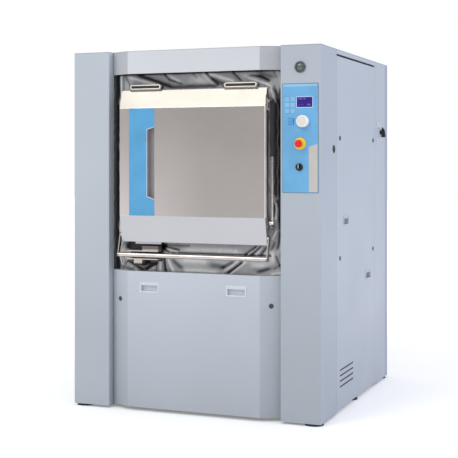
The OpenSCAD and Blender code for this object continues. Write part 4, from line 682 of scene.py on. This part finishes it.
# places where the cloth stays further back: a span in X, a span in Z and the y that it may reach there
keepBack = [
    ((-414, 414), (929, 1751), -663.2), ((-374, -182), (1718, 1800), -669.0),
    ((182, 374), (1718, 1800), -669.0), ((-394, -190), (806, 962), -669.0), ((388, 474), (1000, 1086), -669.0),
]


def ringAt(part):
    # half width, low and high edge and depth of the ring, a part of the way in from its outer rim
    return [bellows["outer" + key] + (bellows["inner" + key] - bellows["outer" + key]) * part
            for key in ("Half", "Low", "High", "Y")]


def clothRing():
    bm = bmesh.new()
    half, low, high, depth = ringAt(0)
    mid = (low + high) / 2
    ring = bmesh.ops.create_grid(bm, x_segments=1, y_segments=1, size=1.0)["verts"]
    bmesh.ops.rotate(bm, verts=ring, cent=(0, 0, 0), matrix=Matrix.Rotation(math.pi / 2, 3, "X"))
    bmesh.ops.scale(bm, verts=ring, vec=(half / 1000, 1, (high - mid) / 1000))
    bmesh.ops.translate(bm, verts=ring, vec=spot(0, depth, mid))
    bmesh.ops.delete(bm, geom=bm.faces[:], context="FACES_ONLY")
    bmesh.ops.subdivide_edges(bm, edges=bm.edges[:], cuts=bellows["cuts"])
    edges = bm.edges[:]
    pinned = set(bm.verts)
    for row in range(1, bellows["rows"] + 1):
        newHalf, newLow, newHigh, newDepth = ringAt(row / bellows["rows"])
        grown = bmesh.ops.extrude_edge_only(bm, edges=edges)["geom"]
        verts = [g for g in grown if isinstance(g, bmesh.types.BMVert)]
        edges = [g for g in grown
                 if isinstance(g, bmesh.types.BMEdge) and all(v in verts for v in g.verts)]
        middle = spot(0, depth, (low + high) / 2)
        bmesh.ops.translate(bm, verts=verts, vec=-middle)
        bmesh.ops.scale(bm, verts=verts, vec=(newHalf / half, 1, (newHigh - newLow) / (high - low)))
        bmesh.ops.translate(bm, verts=verts, vec=spot(0, newDepth, (newLow + newHigh) / 2))
        half, low, high, depth = newHalf, newLow, newHigh, newDepth
    pinned |= set(verts)
    return bm, pinned


def foldAt(x, z):
    # how far all folds together stand forward at a place, in mm, fading out at both ends of each
    total = 0.0
    runOut = bellows["runOut"]
    for x0, z0, x1, z1, high, wide in folds:
        alongX, alongZ = x1 - x0, z1 - z0
        length = math.hypot(alongX, alongZ)
        part = ((x - x0) * alongX + (z - z0) * alongZ) / length
        if part < -runOut * wide or part > length + runOut * wide:
            continue
        across = abs((x - x0) * alongZ - (z - z0) * alongX) / length
        if across > bellows["spread"] * wide:
            continue
        ends = min(part, length - part)
        fade = min(1.0, max(0.0, (ends + runOut * wide) / ((runOut + 1) * wide)))
        total += high * math.exp(-(across / wide) ** 2) * fade
    return total


def settleCloth(piece, pinned):
    group = piece.vertex_groups.new(name="pinned")
    group.add(pinned, 1.0, "REPLACE")
    modifier = piece.modifiers.new("Cloth", "CLOTH")
    for key, value in fabric.items():
        setattr(modifier.settings, key, value)
    modifier.settings.vertex_group_mass = "pinned"
    modifier.collision_settings.use_collision = False
    modifier.point_cache.frame_start = 1
    modifier.point_cache.frame_end = bellows["frames"]
    scene = bpy.context.scene
    for number in range(1, bellows["frames"] + 1):
        scene.frame_set(number)
    settled = piece.evaluated_get(bpy.context.evaluated_depsgraph_get())
    places = [v.co.copy() for v in settled.data.vertices]
    piece.modifiers.remove(modifier)
    scene.frame_set(1)
    return places


def softLimit(y, front):
    # eases the cloth into a limit instead of cutting it off flat
    room = bellows["room"]
    if y < front + room:
        y = front + room * math.exp((y - front - room) / room)
    return min(y, bellows["behind"] / 1000)


bm, pinned = clothRing()
bm.verts.index_update()
pinnedIndex = sorted(v.index for v in pinned)
for v in bm.verts:
    if v not in pinned:
        v.co.y -= bellows["foldFirst"] * foldAt((v.co.x - machineX) * 1000, v.co.z * 1000)
bmesh.ops.recalc_face_normals(bm, faces=bm.faces)
if sum(f.normal.y for f in bm.faces) > 0:
    bmesh.ops.reverse_faces(bm, faces=bm.faces)
ringMesh = bpy.data.meshes.new("bellowsRing")
bm.to_mesh(ringMesh)
bm.free()
ring = placed("bellowsRing", ringMesh)
held = set(pinnedIndex)
start = [v.co.copy() for v in ringMesh.vertices]
settledPlaces = settleCloth(ring, pinnedIndex)
for i, place in enumerate(settledPlaces):
    if i not in held:
        move = place - start[i]
        if move.length > bellows["cap"]:
            place = start[i] + move * (bellows["cap"] / move.length)
        ringMesh.vertices[i].co = place
bm = bmesh.new()
bm.from_mesh(ringMesh)
bmesh.ops.subdivide_edges(bm, edges=bm.edges[:], cuts=1, use_grid_fill=True)
bm.verts.index_update()
inner = [v for v in bm.verts if not v.is_boundary]
for _ in range(bellows["rounds"]):
    bmesh.ops.smooth_vert(bm, verts=inner, factor=0.5, use_axis_x=True, use_axis_y=True, use_axis_z=True)
held = {v.index for v in bm.verts if v.is_boundary}
bm.to_mesh(ringMesh)
bm.free()
foldShade = ringMesh.attributes.new("foldShading", "FLOAT", "POINT")
free, ease = bellows["front"] / 1000, bellows["ease"]
for v in ringMesh.vertices:
    x, z = (v.co.x - machineX) * 1000, v.co.z * 1000
    stands = foldAt(x, z)
    # painted shade for the valleys and painted highlight for the ridges, from how far the folds stand
    foldShade.data[v.index].value = max(-2.0, min(1.0, stands / bellows["tone"]))
    if v.index in held:
        continue
    v.co.y -= bellows["foldLast"] * stands
    front = free
    for (x0, x1), (z0, z1), reach in keepBack:
        inset = min(x - x0, x1 - x, z - z0, z1 - z)
        if inset > -ease:
            part = min(1.0, (inset + ease) / ease)
            front = max(front, free * (1 - part) + reach / 1000 * part)
    v.co.y = softLimit(v.co.y, front)
ringArea = sum(p.area for p in ringMesh.polygons)
print("bellows settled, cloth area", round(ringArea, 3))
bpy.data.objects.remove(ring)
for where, side in sides.items():
    mesh = ringMesh.copy()
    mesh.name = where + "BellowsCloth"
    if side < 0:
        mesh.transform(Matrix.Translation((machineX, 0, 0)) @ Matrix.Rotation(math.pi, 4, "Z")
                       @ Matrix.Translation((-machineX, 0, 0)))
    mesh.materials.append(paints["bellows_cloth"])
    for face in mesh.polygons:
        face.use_smooth = True
    piece = placed(where + "BellowsCloth", mesh)
    skin = piece.modifiers.new("Thickness", "SOLIDIFY")
    skin.thickness = bellows["thick"] / 1000
    skin.offset = 0
    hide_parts(where + "_bellows")
    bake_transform(piece)
print("bellows made")

# rubber air springs with two lobes between steel plates
spring = {"x": 545, "y": 430, "low": 140, "high": 339.7, "plateR": 76, "plate": 12, "neckR": 62,
          "lobeR": 80}
bm = bmesh.new()
lobe = (spring["high"] - spring["low"] - 2 * spring["plate"]) / 2
# one lobe: how far out and how far up, as shares
arch = [(0, 0), (0.25, 0.12), (0.62, 0.3), (0.9, 0.42), (1, 0.5), (0.9, 0.58), (0.62, 0.7), (0.25, 0.88)]
profile = [(0, 0), (spring["plateR"], 0), (spring["plateR"], spring["plate"])]
for i in (0, 1):
    profile += [(spring["neckR"] + (spring["lobeR"] - spring["neckR"]) * out,
                 spring["plate"] + lobe * (i + up)) for out, up in arch]
profile += [(spring["neckR"], spring["plate"] + 2 * lobe), (spring["plateR"], spring["plate"] + 2 * lobe),
            (spring["plateR"], 2 * spring["plate"] + 2 * lobe), (0, 2 * spring["plate"] + 2 * lobe)]
for x in (-spring["x"], spring["x"]):
    for y in (-spring["y"], spring["y"]):
        turned(bm, spot(x, y, spring["low"]), (0, 0, 1), profile, 48)
springs = makePiece("airSpringBellows", bm, paints["spring_rubber"], None)
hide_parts("air_springs")
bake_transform(springs)
print("air springs made")

# floor, lights, background, camera
studio = {"floorHalf": 30, "floorGlow": 0.22, "ambient": 0.84, "horizon": 0.12, "overhead": 1.06, "rise": 0.42,
          "keyPower": 0.62, "keyTurn": (52, 0, -28), "keyColour": (1, 1, 1), "sidePower": 0.74,
          "sideTurn": (66, 0, 88), "sideColour": (0.47, 0.56, 1.0), "softness": 24}
bm = bmesh.new()
bmesh.ops.create_grid(bm, x_segments=1, y_segments=1, size=studio["floorHalf"])
floorMesh = bpy.data.meshes.new("floor")
bm.to_mesh(floorMesh)
bm.free()
placed("floor", floorMesh)
floorFinish = Finish("floorWhite")
seenByCamera = floorFinish.node("ShaderNodeLightPath", output="Is Camera Ray")
seenInGloss = floorFinish.node("ShaderNodeLightPath", output="Is Glossy Ray")
seenThrough = floorFinish.node("ShaderNodeLightPath", output="Is Transmission Ray")
rays = floorFinish.node("ShaderNodeMath", {"operation": "MAXIMUM"},
                        {0: seenByCamera + seenInGloss, 1: seenThrough})
flat = floorFinish.node("ShaderNodeBsdfDiffuse", None, {"Color": (0.92, 0.92, 0.92, 1)})
shine = floorFinish.node("ShaderNodeEmission", None,
                         {"Color": (1, 1, 1, 1), "Strength": rays * studio["floorGlow"]})
both = floorFinish.node("ShaderNodeAddShader", None, {0: flat, 1: shine})
floorFinish.node("ShaderNodeOutputMaterial", None, {"Surface": both})
floorMesh.materials.append(floorFinish.material)

world = bpy.data.worlds.new("studio")
bpy.context.scene.world = world
sky = Nodes(world)
seen = sky.node("ShaderNodeLightPath", output="Is Camera Ray")
through = sky.node("ShaderNodeLightPath", output="Is Transmission Ray")
mirrored = sky.node("ShaderNodeLightPath", output="Is Glossy Ray")
direction = sky.node("ShaderNodeTexCoord", output="Generated")
upwards = sky.node("ShaderNodeSeparateXYZ", None, {0: direction}, 2)
rise = sky.node("ShaderNodeMapRange", None,
                {"Value": upwards, "From Min": 0.0, "From Max": studio["rise"],
                 "To Min": studio["horizon"], "To Max": studio["overhead"]})
strength = studio["ambient"] + mirrored * (rise - studio["ambient"])
white = sky.node("ShaderNodeMath", {"operation": "MAXIMUM"}, {0: seen, 1: through})
strength = strength + white * (1 - strength)
glow = sky.node("ShaderNodeBackground", None, {"Color": (1, 1, 1, 1), "Strength": strength})
sky.node("ShaderNodeOutputWorld", None, {"Surface": glow})

for name in ("key", "side"):
    light = bpy.data.lights.new(name, "SUN")
    light.energy = studio[name + "Power"]
    light.color = studio[name + "Colour"]
    light.angle = math.radians(studio["softness"])
    placed(name, light).rotation_euler = [math.radians(a) for a in studio[name + "Turn"]]

bpy.context.scene.view_settings.view_transform = "Standard"
view = {"lens": 87.31, "place": (2.35745, -6.2016, 1.3747), "turn": 21.572, "shiftY": -0.15105}
lens = bpy.data.cameras.new("camera")
lens.lens = view["lens"]
lens.sensor_width = 36
lens.shift_y = view["shiftY"]
camera = placed("camera", lens)
camera.location = view["place"]
camera.rotation_euler = (math.radians(90), 0, math.radians(view["turn"]))
bpy.context.scene.camera = camera
print("camera and light set")
